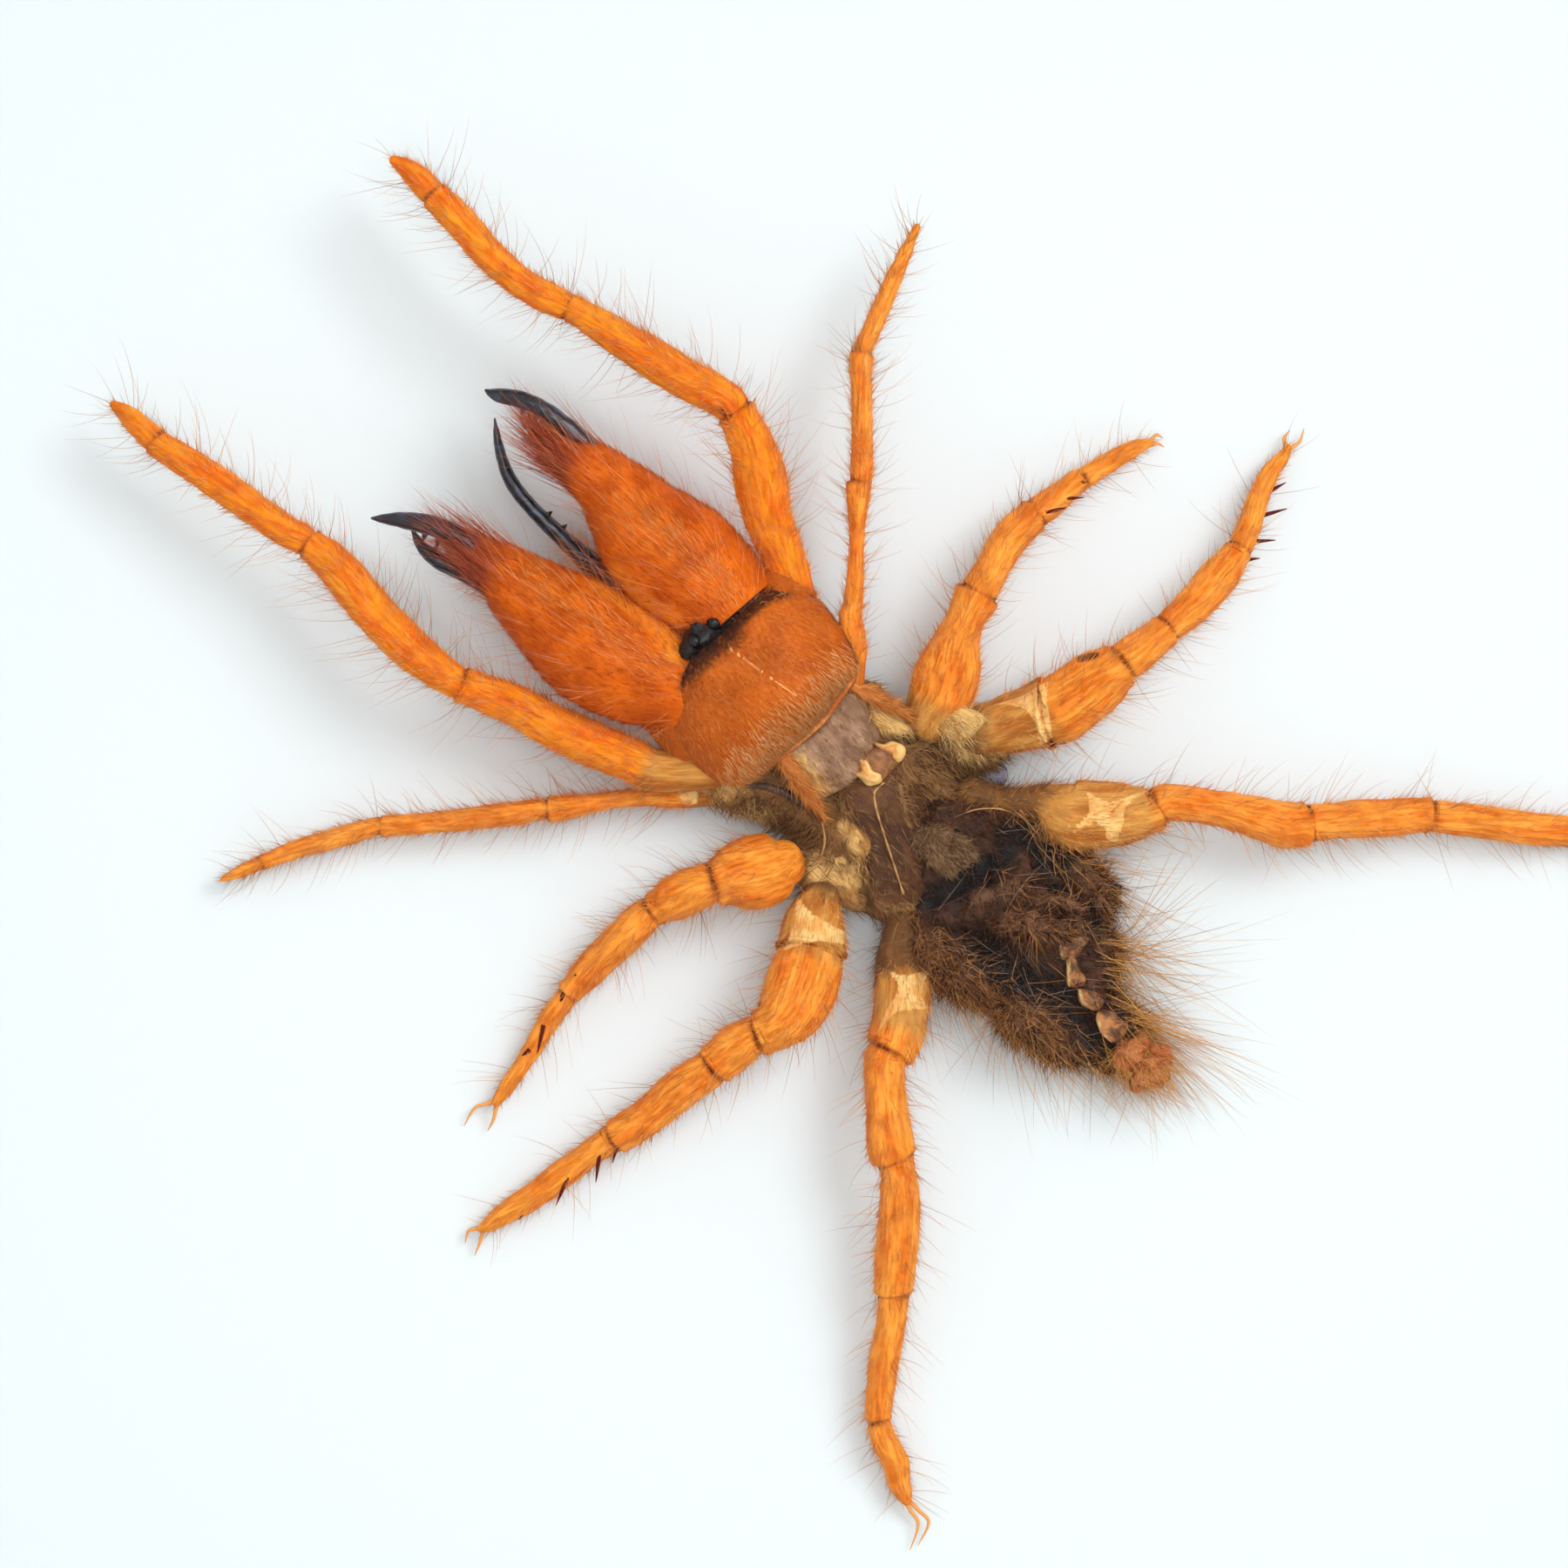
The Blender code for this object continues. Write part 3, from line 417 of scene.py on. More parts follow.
def new_piece(name, vertices, triangles, finish, slot, nodes=(), painted=None):
    """A smooth piece from millimetre coordinates; it rides on the frame and stands for the named solids."""
    mesh = bpy.data.meshes.new(name)
    mesh.vertices.add(len(vertices))
    mesh.vertices.foreach_set("co", (np.asarray(vertices) * MM).ravel())
    count = len(triangles)
    mesh.loops.add(count * 3)
    mesh.loops.foreach_set("vertex_index", np.asarray(triangles, dtype=np.int32).ravel())
    mesh.polygons.add(count)
    mesh.polygons.foreach_set("loop_start", np.arange(0, count * 3, 3, dtype=np.int32))
    mesh.polygons.foreach_set("loop_total", np.full(count, 3, dtype=np.int32))
    mesh.update(calc_edges=True)
    mesh.shade_smooth()
    for words, values in (painted or {}).items():
        layer = mesh.attributes.new(words, "FLOAT", "POINT")
        layer.data.foreach_set("value", np.asarray(values, dtype=np.float32).ravel())
    mesh.materials.append(finish)
    piece = bpy.data.objects.new(name, mesh)
    bpy.context.scene.collection.objects.link(piece)
    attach(piece, "root")
    if nodes:
        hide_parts(*nodes)
    return piece


def on_card(places, heights):
    """Where points of the photograph lie, in millimetres, when they are this high above the card."""
    places = np.asarray(places, dtype=float)
    heights = np.asarray(heights, dtype=float)
    shrink = (1 - heights / CAMERA_ABOVE_CARD)[..., None]
    flat = (MIDDLE_PX - FRAME_MIDDLE_PX + (places - MIDDLE_PX) * shrink) * PIXEL
    return np.stack([flat[..., 0], -flat[..., 1], CARD_TOP + heights], axis=-1)


def through(knots, values, at):
    """A smooth curve through the values at the knots."""
    slopes = np.empty_like(values)
    slopes[1:-1] = (values[2:] - values[:-2]) / (knots[2:] - knots[:-2])[:, None]
    slopes[0] = (values[1] - values[0]) / (knots[1] - knots[0])
    slopes[-1] = (values[-1] - values[-2]) / (knots[-1] - knots[-2])
    index = np.clip(np.searchsorted(knots, at) - 1, 0, len(knots) - 2)
    span = (knots[index + 1] - knots[index])[:, None]
    t = (at - knots[index])[:, None] / span
    return (
        (2 * t**3 - 3 * t**2 + 1) * values[index] + (t**3 - 2 * t**2 + t) * span * slopes[index]
        + (3 * t**2 - 2 * t**3) * values[index + 1] + (t**3 - t**2) * span * slopes[index + 1]
    )


def unit(vectors):
    return vectors / np.maximum(np.linalg.norm(vectors, axis=-1, keepdims=True), 1e-9)


def scatter(amount, count):
    return dice.normal(0.0, amount, (count, 3))


class Surface:
    """A closed skin as a grid of points: rings, and steps round each ring."""

    def refresh(self):
        """Works the outward directions out again after the points have moved."""
        around = np.roll(self.points, -1, axis=1) - np.roll(self.points, 1, axis=1)
        lengthwise = np.gradient(self.points, axis=0)
        self.normals = unit(np.cross(around, lengthwise))

    def push(self, amount):
        """Moves the points outwards by an amount for each, in millimetres."""
        self.points = self.points + self.normals * amount[..., None]
        self.refresh()

    def roughen(self, amount, per_mm, where=1.0):
        spots = self.points.reshape(-1, 3) * per_mm
        bumps = np.array([noise.noise(Vector(spot)) for spot in spots]).reshape(self.points.shape[:2])
        self.push(bumps * amount * where)

    def blank(self):
        return np.zeros(self.points.shape[:2])

    def edge_gaps(self, line, closed=False):
        """How far each point is from each run of a line drawn on the photograph, seen from above, in mm."""
        height = self.points[..., 2] - CARD_TOP
        ends = line[1:] + line[:1] if closed else line[1:]
        for start, end in zip(line, ends):
            a, b = on_card(start, height)[..., :2], on_card(end, height)[..., :2]
            run, away = b - a, self.points[..., :2] - a
            share = np.clip((away * run).sum(-1) / np.maximum((run**2).sum(-1), 1e-9), 0, 1)
            yield np.linalg.norm(away - run * share[..., None], axis=-1), run, away

    def strokes(self, *lines, soft=0.6, top_only=True):
        """Paint laid on from above along lines in the photograph: (width in mm, point, point, ...)."""
        mask = self.blank()
        for width, *line in lines:
            for gap, _, _ in self.edge_gaps(list(line)):
                mask = np.maximum(mask, np.clip((width / 2 * (1 + soft) - gap) / (width * soft), 0, 1))
        return mask * self.seen_from_above() if top_only else mask

    def patch(self, outline, soft=0.12):
        """Paint laid on from above inside an outline in the photograph."""
        inside, nearest = np.zeros(self.points.shape[:2], bool), np.full(self.points.shape[:2], 99.0)
        for gap, run, away in self.edge_gaps(list(outline), closed=True):
            nearest = np.minimum(nearest, gap)
            spans = (away[..., 1] > 0) != (away[..., 1] > run[..., 1])
            crossing = run[..., 0] * away[..., 1] / np.where(run[..., 1] == 0, 1e-9, run[..., 1])
            inside ^= spans & (away[..., 0] < crossing)
        return np.clip(0.5 + np.where(inside, nearest, -nearest) / soft, 0, 1) * self.seen_from_above()

    def seen_from_above(self):
        return np.clip(self.normals[..., 2] * 3 + 0.4, 0, 1)

    def mesh(self):
        """Vertices and triangles, with both ends closed."""
        rings, steps = self.points.shape[:2]
        ends = [self.points[0].mean(0)[None], self.points[-1].mean(0)[None]]
        vertices = np.concatenate([self.points.reshape(-1, 3), *ends])
        here = np.arange(rings * steps).reshape(rings, steps)
        right = np.roll(here, -1, axis=1)
        a, b, c, d = here[:-1], right[:-1], right[1:], here[1:]
        sides = [np.stack(corners, -1).reshape(-1, 3) for corners in ((a, b, c), (a, c, d))]
        start = np.stack([right[0], here[0], np.full(steps, rings * steps)], -1)
        finish = np.stack([here[-1], right[-1], np.full(steps, rings * steps + 1)], -1)
        return vertices, np.concatenate([*sides, start, finish])

    def build(self, name, finish, slot, nodes=(), **painted):
        vertices, triangles = self.mesh()
        layers = {
            words: np.append(mask.ravel(), (mask[0, 0], mask[-1, 0])) for words, mask in painted.items()
        }
        new_piece(name, vertices, triangles, finish, slot, nodes, layers)

    def roots(self, count, where):
        """Random places, evenly spread or as a mask says: points, outward and forward directions."""
        p, right = self.points, np.roll(self.points, -1, axis=1)
        areas = np.linalg.norm(np.cross(right[1:] - p[:-1], p[1:] - right[:-1]), axis=-1)
        weights = areas if where is None else areas * (where[:-1] + where[1:]) / 2
        picks = dice.choice(weights.size, count, p=(weights / weights.sum()).ravel())
        ring, step = np.unravel_index(picks, weights.shape)
        beside = (step + 1) % p.shape[1]
        u, v = dice.random((2, count, 1))
        point = (p[ring, step] * (1 - u) * (1 - v) + p[ring + 1, step] * u * (1 - v)
                 + p[ring, beside] * (1 - u) * v + p[ring + 1, beside] * u * v)
        return point, self.normals[ring, step], self.forward[ring, step]


class Skin(Surface):
    """A fine tube through a piece's stations."""

    def __init__(self, *segments, spacing=0.18, steps=32, collar=0.0, square=2.0, round_ends=(False, True)):
        stations = np.array([station for segment in segments for station in segment], dtype=float)
        middles = on_card(stations[:, :2], stations[:, 2])
        knots = np.concatenate([[0.0], np.cumsum(np.linalg.norm(np.diff(middles, axis=0), axis=1))])
        ends = np.cumsum([len(segment) for segment in segments])[:-1]
        self.joints = [(knots[end - 1] + knots[end]) / 2 for end in ends]
        length = knots[-1]
        at_joints = [joint + np.linspace(-0.45, 0.45, 19) for joint in self.joints]
        places = [np.arange(0.0, length, spacing), *at_joints]
        along = np.unique(np.clip(np.concatenate([*places, [length]]), 0.0, length))
        values = through(knots, np.hstack([middles, stations[:, 3:5]]), along)
        middle, size = values[:, :3], np.maximum(values[:, 3:] / 2, 0.02)
        if collar:
            size = size * self.collars(along, collar)[:, None]
        for at_start in (True, False):
            if round_ends[0 if at_start else 1]:
                middle, size, along = self.with_dome(middle, size, along, at_start)
        forward = unit(np.gradient(middle, axis=0))
        across = unit(np.cross((0.0, 0.0, 1.0), forward))
        upward = unit(np.cross(forward, across))
        angle = 2 * np.pi * np.arange(steps) / steps
        circle = np.cos(angle), np.sin(angle)
        wide, tall = (np.sign(part) * np.abs(part) ** (2 / square) for part in circle)
        self.side, self.rise = wide * size[:, :1], tall * size[:, 1:]
        self.points = (middle[:, None] + across[:, None] * self.side[..., None]
                       + upward[:, None] * self.rise[..., None])
        self.along = np.repeat(along[:, None], steps, axis=1)
        self.angle = np.repeat(angle[None], len(along), axis=0)
        self.forward = np.repeat(forward[:, None], steps, axis=1)
        self.length = length
        self.refresh()

    def collars(self, along, depth):
        """At a joint the near end flares a little, then comes a narrow fold, then the far end swells."""
        factor = np.ones_like(along)
        for joint in self.joints:
            beyond = along - joint
            factor += 0.06 * np.exp(-((beyond + 0.2) / 0.22) ** 2) * (beyond < 0)
            factor -= depth * np.exp(-((beyond / 0.1) ** 2))
            factor -= 0.6 * depth * np.exp(-((beyond - 0.1) / 0.4) ** 2) * (beyond >= 0)
        return factor

    @staticmethod
    def with_dome(middle, size, along, at_start):
        """Closes an end with a short dome of rings."""
        bends = np.linspace(0, np.pi / 2, 6)[1:]
        end, inner = (0, 1) if at_start else (-1, -2)
        bulge = size[end].mean() * 0.8
        dome = middle[end] + unit(middle[end] - middle[inner]) * np.sin(bends)[:, None] * bulge
        shrunk = size[end] * np.maximum(np.cos(bends), 0.03)[:, None]
        further = along[end] + (-1 if at_start else 1) * np.sin(bends) * bulge
        pairs = ((dome, middle), (shrunk, size), (further, along))
        return [np.concatenate([new[::-1], old] if at_start else [old, new]) for new, old in pairs]

    def between(self, low, high, soft=0.6):
        """Paint on a stretch of the tube, in millimetres along it."""
        return np.clip((self.along - low) / soft, 0, 1) * np.clip((high - self.along) / soft, 0, 1)

    def joint_paint(self, width):
        mask = self.blank()
        for joint in self.joints:
            uneven = 0.55 + 0.45 * np.cos(self.angle * 2 + joint * 7)
            mask = np.maximum(mask, np.exp(-((self.along - joint) / width) ** 2) * uneven)
        return mask

    def build(self, name, finish, slot, nodes=(), **painted):
        ways = {"along": self.along, "side": self.side, "rise": self.rise}
        super().build(name, finish, slot, nodes, **ways, **painted)


class Dome(Surface):
    """A low shell over an outline drawn on the photograph, from its crown out to its rim and then under.

    An outline point is x, y and the height of the rim there in mm."""

    def __init__(self, outline, rise, skirt, fullness, steps, rings, crown=None):
        outline = np.array(outline, dtype=float)
        turned = np.roll(outline, -1, axis=0)
        if (outline[:, 0] * turned[:, 1] - turned[:, 0] * outline[:, 1]).sum() < 0:
            outline = outline[::-1]
        closed = np.vstack([outline[-2:], outline, outline[:3]])
        knots = np.concatenate([[0.0], np.cumsum(np.linalg.norm(np.diff(closed[:, :2], axis=0), axis=1))])
        start, end = knots[2], knots[2 + len(outline)]
        rim = through(knots, closed, start + (end - start) * np.arange(steps) / steps)
        middle = rim.mean(0)
        if crown is not None:
            middle[:2] = crown
        share = np.sin(np.linspace(0.02, 1, rings) * np.pi / 2)
        drop = np.concatenate([np.zeros(rings), skirt * np.array((0.3, 0.65, 1.0))])
        share = np.concatenate([share, (1.0, 0.97, 0.9)])
        lift = rise * np.maximum(1 - share**fullness, 0) ** 0.6
        lift[rings:] = 0
        grid = middle + (rim - middle) * share[:, None, None]
        self.points = on_card(grid[..., :2], grid[..., 2] + (lift - drop)[:, None])
        self.share = np.repeat(share[:, None], steps, axis=1)
        self.refresh()
        self.forward = unit(np.gradient(self.points, axis=0))


def hairs(name, roots, directions, lengths, radius, bends, finish, slot, parts=1):
    """Curved tapering hairs as three-sided tubes; bends are how far each tip is carried aside."""
    count = len(roots)
    t = np.linspace(0, 1, parts + 1)[None, :, None]
    spine = roots[:, None] + directions[:, None] * lengths[:, None, None] * t + bends[:, None] * t**2
    spine[..., 2] = np.clip(spine[..., 2], CARD_TOP + HAIR_ABOVE_CARD, GLASS_BASE - HAIR_BELOW_GLASS)
    side = unit(np.cross(directions, (0.31, 0.17, 0.93)))
    other = unit(np.cross(directions, side))
    taper = radius * (1 - np.linspace(0, 1, parts + 1)[:-1]) ** 0.6
    corners = []
    for turn in range(3):
        angle = 2 * np.pi * turn / 3
        offset = side * math.cos(angle) + other * math.sin(angle)
        corners.append(spine[:, :-1] + offset[:, None] * taper[None, :, None])
    tube = np.stack(corners, axis=2).reshape(count, parts * 3, 3)
    vertices = np.concatenate([tube, spine[:, -1:]], axis=1)
    each = parts * 3 + 1
    faces = []
    for part in range(parts - 1):
        for turn in range(3):
            a, b = part * 3 + turn, part * 3 + (turn + 1) % 3
            faces += [(a, b, b + 3), (a, b + 3, a + 3)]
    last = (parts - 1) * 3
    faces += [(last, last + 1, each - 1), (last + 1, last + 2, each - 1), (last + 2, last, each - 1)]
    triangles = (np.arange(count)[:, None, None] * each + np.array(faces)[None]).reshape(-1, 3)
    shade = np.repeat(dice.random(count), each)
    new_piece(name, vertices.reshape(-1, 3), triangles, finish, slot, (), {"shade": shade})


def fur(name, surface, finish, slot, flow=None, where=None, coat=None, times=1):
    """A coat of hairs spread over a surface, leaning along it or along a given flow."""
    coat = COATS[coat or name]
    count = int(coat.count * times)
    point, normal, forward = surface.roots(count, where)
    if flow is not None:
        forward = np.broadcast_to(unit(np.asarray(flow, float)), normal.shape)
    along = unit(forward - normal * (forward * normal).sum(-1, keepdims=True))
    direction = unit(normal * coat.lift + along * coat.lean + scatter(coat.stray, count))
    length = dice.uniform(coat.shortest, coat.longest, count)
    swing = (along * coat.bend + scatter(coat.curl, count)) * length[:, None]
    roots = point - normal * ROOT_DEPTH
    hairs(name, roots, direction, length, coat.radius, swing, finish, slot, coat.parts)


def joined(skins):
    """One mesh from several skins."""
    vertices, triangles, start = [], [], 0
    for skin in skins:
        points, faces = skin.mesh()
        vertices.append(points)
        triangles.append(faces + start)
        start += len(points)
    return np.concatenate(vertices), np.concatenate(triangles)


# The limbs: stations from the body outwards, in segments that meet at the joints. A station is x and y of
# its middle in the photograph, then height above the card, width and thickness in mm.

LIMBS = {
    "pedipalp_right": (
        ((915, 712, 5.4, 2.7, 2.6), (907, 668, 5.8, 2.9, 2.7), (898, 636, 6.3, 2.8, 2.8),
         (883, 596, 7.0, 3.1, 2.9), (874, 553, 7.8, 3.4, 3.0), (864, 512, 8.6, 2.9, 2.8),
         (850, 482, 9.0, 2.5, 2.6)),
        ((836, 462, 9.2, 2.4, 2.6), (816, 449, 9.3, 2.5, 2.7), (780, 430, 9.4, 2.6, 2.8),
         (740, 405, 9.3, 2.5, 2.7), (700, 380, 9.2, 2.2, 2.5), (662, 357, 9.1, 1.8, 2.1)),
        ((644, 349, 9.0, 1.9, 2.1), (600, 325, 8.9, 2.0, 2.1), (560, 290, 8.7, 2.0, 2.1),
         (530, 255, 8.5, 2.1, 2.1), (503, 228, 8.3, 1.9, 2.0)),
        ((492, 217, 8.2, 1.8, 1.8), (470, 195, 8.1, 1.4, 1.5), (452, 184, 8.0, 0.6, 0.7)),
    ),
    "pedipalp_left": (
        ((815, 882, 4.9, 2.6, 2.5), (752, 883, 5.0, 2.8, 2.6), (723, 871, 5.2, 2.8, 2.7),
         (679, 853, 5.6, 2.9, 2.8), (635, 833, 6.0, 2.8, 2.8), (591, 809, 6.4, 2.6, 2.7),
         (540, 789, 6.8, 2.3, 2.5)),
        ((516, 778, 7.0, 2.2, 2.4), (473, 745, 7.1, 2.7, 2.8), (435, 708, 7.0, 2.7, 2.8),
         (408, 676, 6.9, 2.7, 2.7), (381, 645, 6.8, 2.5, 2.6), (362, 629, 6.7, 2.1, 2.3)),
        ((346, 618, 6.6, 2.0, 2.1), (328, 609, 6.5, 2.0, 2.1), (274, 571, 6.2, 2.1, 2.1),
         (221, 534, 5.9, 2.0, 2.1), (184, 511, 5.7, 1.8, 1.9)),
        ((172, 500, 5.6, 1.7, 1.7), (145, 475, 5.4, 1.2, 1.2), (130, 464, 5.3, 0.5, 0.6)),
    ),
    "leg_1_right": (
        ((975, 790, 4.9, 1.9, 1.8), (979, 740, 5.3, 1.8, 1.8), (977, 708, 5.8, 1.5, 1.6),
         (980, 690, 6.0, 1.25, 1.4), (983, 646, 6.3, 1.0, 1.2), (984, 601, 6.5, 1.1, 1.3),
         (986, 562, 6.7, 1.6, 1.6)),
        ((989, 546, 6.7, 1.5, 1.5), (990, 505, 6.7, 1.35, 1.4), (989, 444, 6.6, 1.35, 1.4),
         (989, 412, 6.5, 1.55, 1.5)),
        ((992, 398, 6.4, 1.3, 1.3), (999, 383, 6.3, 1.2, 1.2), (1021, 332, 5.9, 1.1, 1.15),
         (1041, 287, 5.5, 0.85, 0.9), (1053, 260, 5.3, 0.4, 0.5)),
    ),
    "leg_1_left": (
        ((835, 905, 2.7, 1.9, 1.5), (790, 914, 2.7, 1.5, 1.5), (744, 914, 2.9, 1.3, 1.4),
         (704, 918, 3.2, 1.1, 1.3), (665, 924, 3.3, 1.4, 1.5), (635, 928, 3.3, 1.6, 1.6)),
        ((620, 929, 3.3, 1.4, 1.5), (600, 932, 3.2, 1.5, 1.5), (546, 939, 3.0, 1.45, 1.5),
         (488, 945, 2.8, 1.35, 1.4), (444, 948, 2.6, 1.35, 1.4)),
        ((430, 949, 2.5, 1.25, 1.3), (400, 958, 2.4, 1.3, 1.3), (349, 972, 2.2, 1.2, 1.2),
         (305, 988, 2.0, 1.0, 1.0)),
        ((294, 993, 2.0, 0.95, 0.95), (272, 1002, 1.9, 0.7, 0.75), (255, 1010, 1.8, 0.35, 0.4)),
    ),
    "leg_2_right": (
        ((1066, 828, 4.2, 3.4, 3.2), (1080, 800, 4.6, 4.2, 3.6), (1092, 762, 5.0, 4.0, 3.6),
         (1101, 730, 5.3, 2.8, 3.0), (1110, 708, 5.4, 2.5, 2.7), (1120, 688, 5.5, 2.9, 2.7)),
        ((1128, 673, 5.5, 2.4, 2.4), (1138, 655, 5.4, 2.2, 2.3), (1157, 622, 5.0, 2.35, 2.4),
         (1183, 595, 4.5, 2.2, 2.3)),
        ((1195, 586, 4.3, 2.0, 2.1), (1212, 573, 3.9, 1.8, 1.9), (1236, 554, 3.3, 1.5, 1.6)),
        ((1247, 547, 3.0, 1.4, 1.4), (1275, 530, 2.4, 1.3, 1.3), (1300, 516, 1.9, 1.1, 1.1),
         (1319, 508, 1.5, 0.6, 0.7)),
    ),
    "leg_2_left": (
        ((902, 989, 4.8, 3.0, 3.0), (892, 993, 4.8, 4.3, 3.8), (868, 1000, 4.7, 4.8, 4.1),
         (840, 1006, 4.8, 4.1, 3.8), (826, 1011, 4.9, 3.1, 3.2)),
        ((812, 1015, 4.9, 2.8, 2.9), (790, 1023, 4.8, 3.0, 3.0), (770, 1033, 4.5, 2.9, 2.9),
         (756, 1041, 4.2, 2.2, 2.4)),
        ((742, 1050, 4.0, 2.2, 2.3), (722, 1069, 3.7, 2.35, 2.4), (700, 1090, 3.3, 2.25, 2.3),
         (676, 1114, 2.8, 2.1, 2.1), (657, 1135, 2.4, 1.7, 1.7)),
        ((647, 1148, 2.2, 1.5, 1.6), (632, 1168, 2.0, 1.45, 1.5), (615, 1197, 1.7, 1.25, 1.3),
         (599, 1222, 1.5, 1.1, 1.2), (580, 1250, 1.3, 1.0, 1.0), (569, 1266, 1.1, 0.6, 0.6)),
    ),
    "leg_3_right": (
        ((1112, 846, 4.0, 3.0, 3.2), (1146, 836, 4.2, 3.7, 3.5), (1172, 828, 4.6, 4.0, 3.6),
         (1196, 821, 5.0, 4.4, 3.8)),
        ((1212, 817, 5.3, 4.5, 3.8), (1240, 798, 5.9, 4.2, 3.8), (1264, 780, 6.3, 4.0, 3.5),
         (1282, 767, 6.5, 3.1, 3.0)),
        ((1294, 758, 6.4, 2.7, 2.7), (1312, 745, 6.1, 2.5, 2.6), (1332, 729, 5.7, 2.2, 2.4)),
        ((1346, 717, 5.4, 2.1, 2.2), (1373, 693, 4.8, 2.4, 2.4), (1401, 660, 4.1, 2.45, 2.4),
         (1418, 638, 3.5, 1.9, 2.0)),
        ((1427, 622, 3.2, 1.6, 1.7), (1436, 600, 2.8, 1.55, 1.6), (1445, 570, 2.2, 1.35, 1.4),
         (1459, 542, 1.7, 1.2, 1.2), (1474, 523, 1.3, 0.8, 0.9), (1479, 514, 1.2, 0.5, 0.5)),
    ),
    "leg_3_left": (
        ((955, 1004, 3.0, 2.4, 2.4), (942, 1032, 3.7, 2.8, 3.0), (934, 1060, 4.4, 4.0, 3.6),
         (931, 1086, 4.8, 4.4, 3.8)),
        ((928, 1102, 5.1, 4.5, 3.9), (919, 1132, 5.5, 4.7, 4.0), (905, 1160, 5.7, 4.3, 3.8),
         (888, 1177, 5.7, 3.4, 3.3), (876, 1184, 5.6, 2.9, 2.9)),
        ((861, 1190, 5.5, 2.7, 2.8), (844, 1202, 5.2, 2.9, 2.9), (825, 1218, 4.8, 2.7, 2.8)),
        ((811, 1229, 4.6, 2.5, 2.6), (781, 1249, 4.0, 2.6, 2.6), (746, 1279, 3.4, 2.4, 2.4),
         (713, 1301, 2.8, 2.3, 2.2)),
        ((698, 1310, 2.5, 1.9, 1.9), (677, 1324, 2.3, 1.7, 1.8), (646, 1347, 2.0, 1.8, 1.8),
         (613, 1372, 1.7, 1.7, 1.6), (582, 1391, 1.4, 1.45, 1.4), (562, 1405, 1.2, 1.0, 1.0),
         (552, 1411, 1.1, 0.5, 0.6)),
    ),
    "leg_4_right": (
        ((1112, 912, 3.5, 2.2, 2.5), (1160, 921, 3.8, 1.9, 2.4), (1196, 921, 4.2, 2.4, 2.8),
         (1228, 935, 4.5, 4.3, 3.6), (1262, 936, 4.6, 4.3, 3.6), (1292, 935, 4.7, 3.9, 3.4),
         (1320, 930, 4.7, 3.0, 3.0)),
        ((1338, 922, 4.7, 2.4, 2.7), (1400, 929, 4.7, 2.3, 2.7), (1448, 940, 4.6, 2.7, 2.9),
         (1480, 948, 4.4, 3.0, 2.9)),
        ((1526, 943, 3.9, 2.3, 2.4), (1551, 941, 3.7, 2.45, 2.4), (1600, 939, 3.3, 2.4, 2.3),
         (1634, 936, 3.0, 2.2, 2.1)),
        ((1652, 938, 2.8, 2.1, 2.0), (1709, 945, 2.3, 2.1, 2.0), (1760, 952, 1.9, 2.1, 1.9),
         (1805, 955, 1.5, 1.9, 1.6), (1838, 957, 1.2, 1.2, 1.1), (1848, 957, 1.1, 0.6, 0.6)),
    ),
    "leg_4_left": (
        ((1040, 1062, 3.4, 2.8, 2.6), (1036, 1100, 3.7, 3.4, 3.1), (1036, 1129, 4.0, 3.6, 3.4),
         (1033, 1165, 4.3, 3.6, 3.4), (1025, 1198, 4.6, 3.4, 3.2)),
        ((1015, 1220, 4.8, 2.7, 2.8), (1018, 1277, 5.1, 2.7, 2.9), (1023, 1320, 5.2, 3.1, 2.9)),
        ((1030, 1342, 5.0, 2.3, 2.6), (1032, 1380, 4.8, 2.6, 2.7), (1028, 1443, 4.2, 2.7, 2.6),
         (1025, 1477, 3.8, 2.5, 2.4)),
        ((1025, 1495, 3.6, 2.0, 2.1), (1022, 1522, 3.3, 1.9, 2.0), (1015, 1556, 2.9, 1.95, 1.9),
         (1010, 1600, 2.3, 1.85, 1.8), (1008, 1624, 2.0, 1.7, 1.7)),
        ((1010, 1639, 1.9, 1.6, 1.6), (1015, 1655, 1.8, 1.7, 1.7), (1027, 1677, 1.6, 1.7, 1.6),
         (1032, 1701, 1.4, 1.45, 1.3), (1038, 1718, 1.2, 1.0, 1.0), (1041, 1724, 1.15, 0.6, 0.6)),
    ),
}

# Paint on the limbs: cream patches as outlines in the photograph, dark places as strokes (width in mm, then
# points), and how far from the body each limb is tan, in mm
CREAM_PATCHES = {
    "leg_3_right": (
        ((1140, 809), (1170, 801), (1203, 782), (1201, 800), (1208, 847), (1194, 856), (1189, 830),
         (1177, 813), (1158, 809)),
    ),
    "leg_4_right": (
        ((1247, 908), (1258, 915), (1274, 922), (1293, 915), (1321, 906), (1301, 918), (1291, 928),
         (1289, 944), (1282, 967), (1270, 964), (1270, 952), (1258, 943), (1241, 950), (1227, 963),
         (1238, 947), (1249, 936), (1251, 922)),
    ),
    "leg_3_left": (
        ((914, 1028), (931, 1049), (950, 1060), (970, 1069), (969, 1084), (940, 1080), (920, 1084),
         (898, 1092), (909, 1070), (914, 1050)),
    ),
    "leg_4_left": (
        ((1018, 1113), (1033, 1120), (1052, 1118), (1069, 1112), (1060, 1128), (1057, 1145), (1066, 1158),
         (1049, 1159), (1031, 1160), (1015, 1174), (1005, 1191), (1016, 1161), (1029, 1142), (1033, 1130)),
    ),
    "leg_1_left": (((776, 905), (790, 902), (802, 906), (800, 922), (786, 925)),),
}
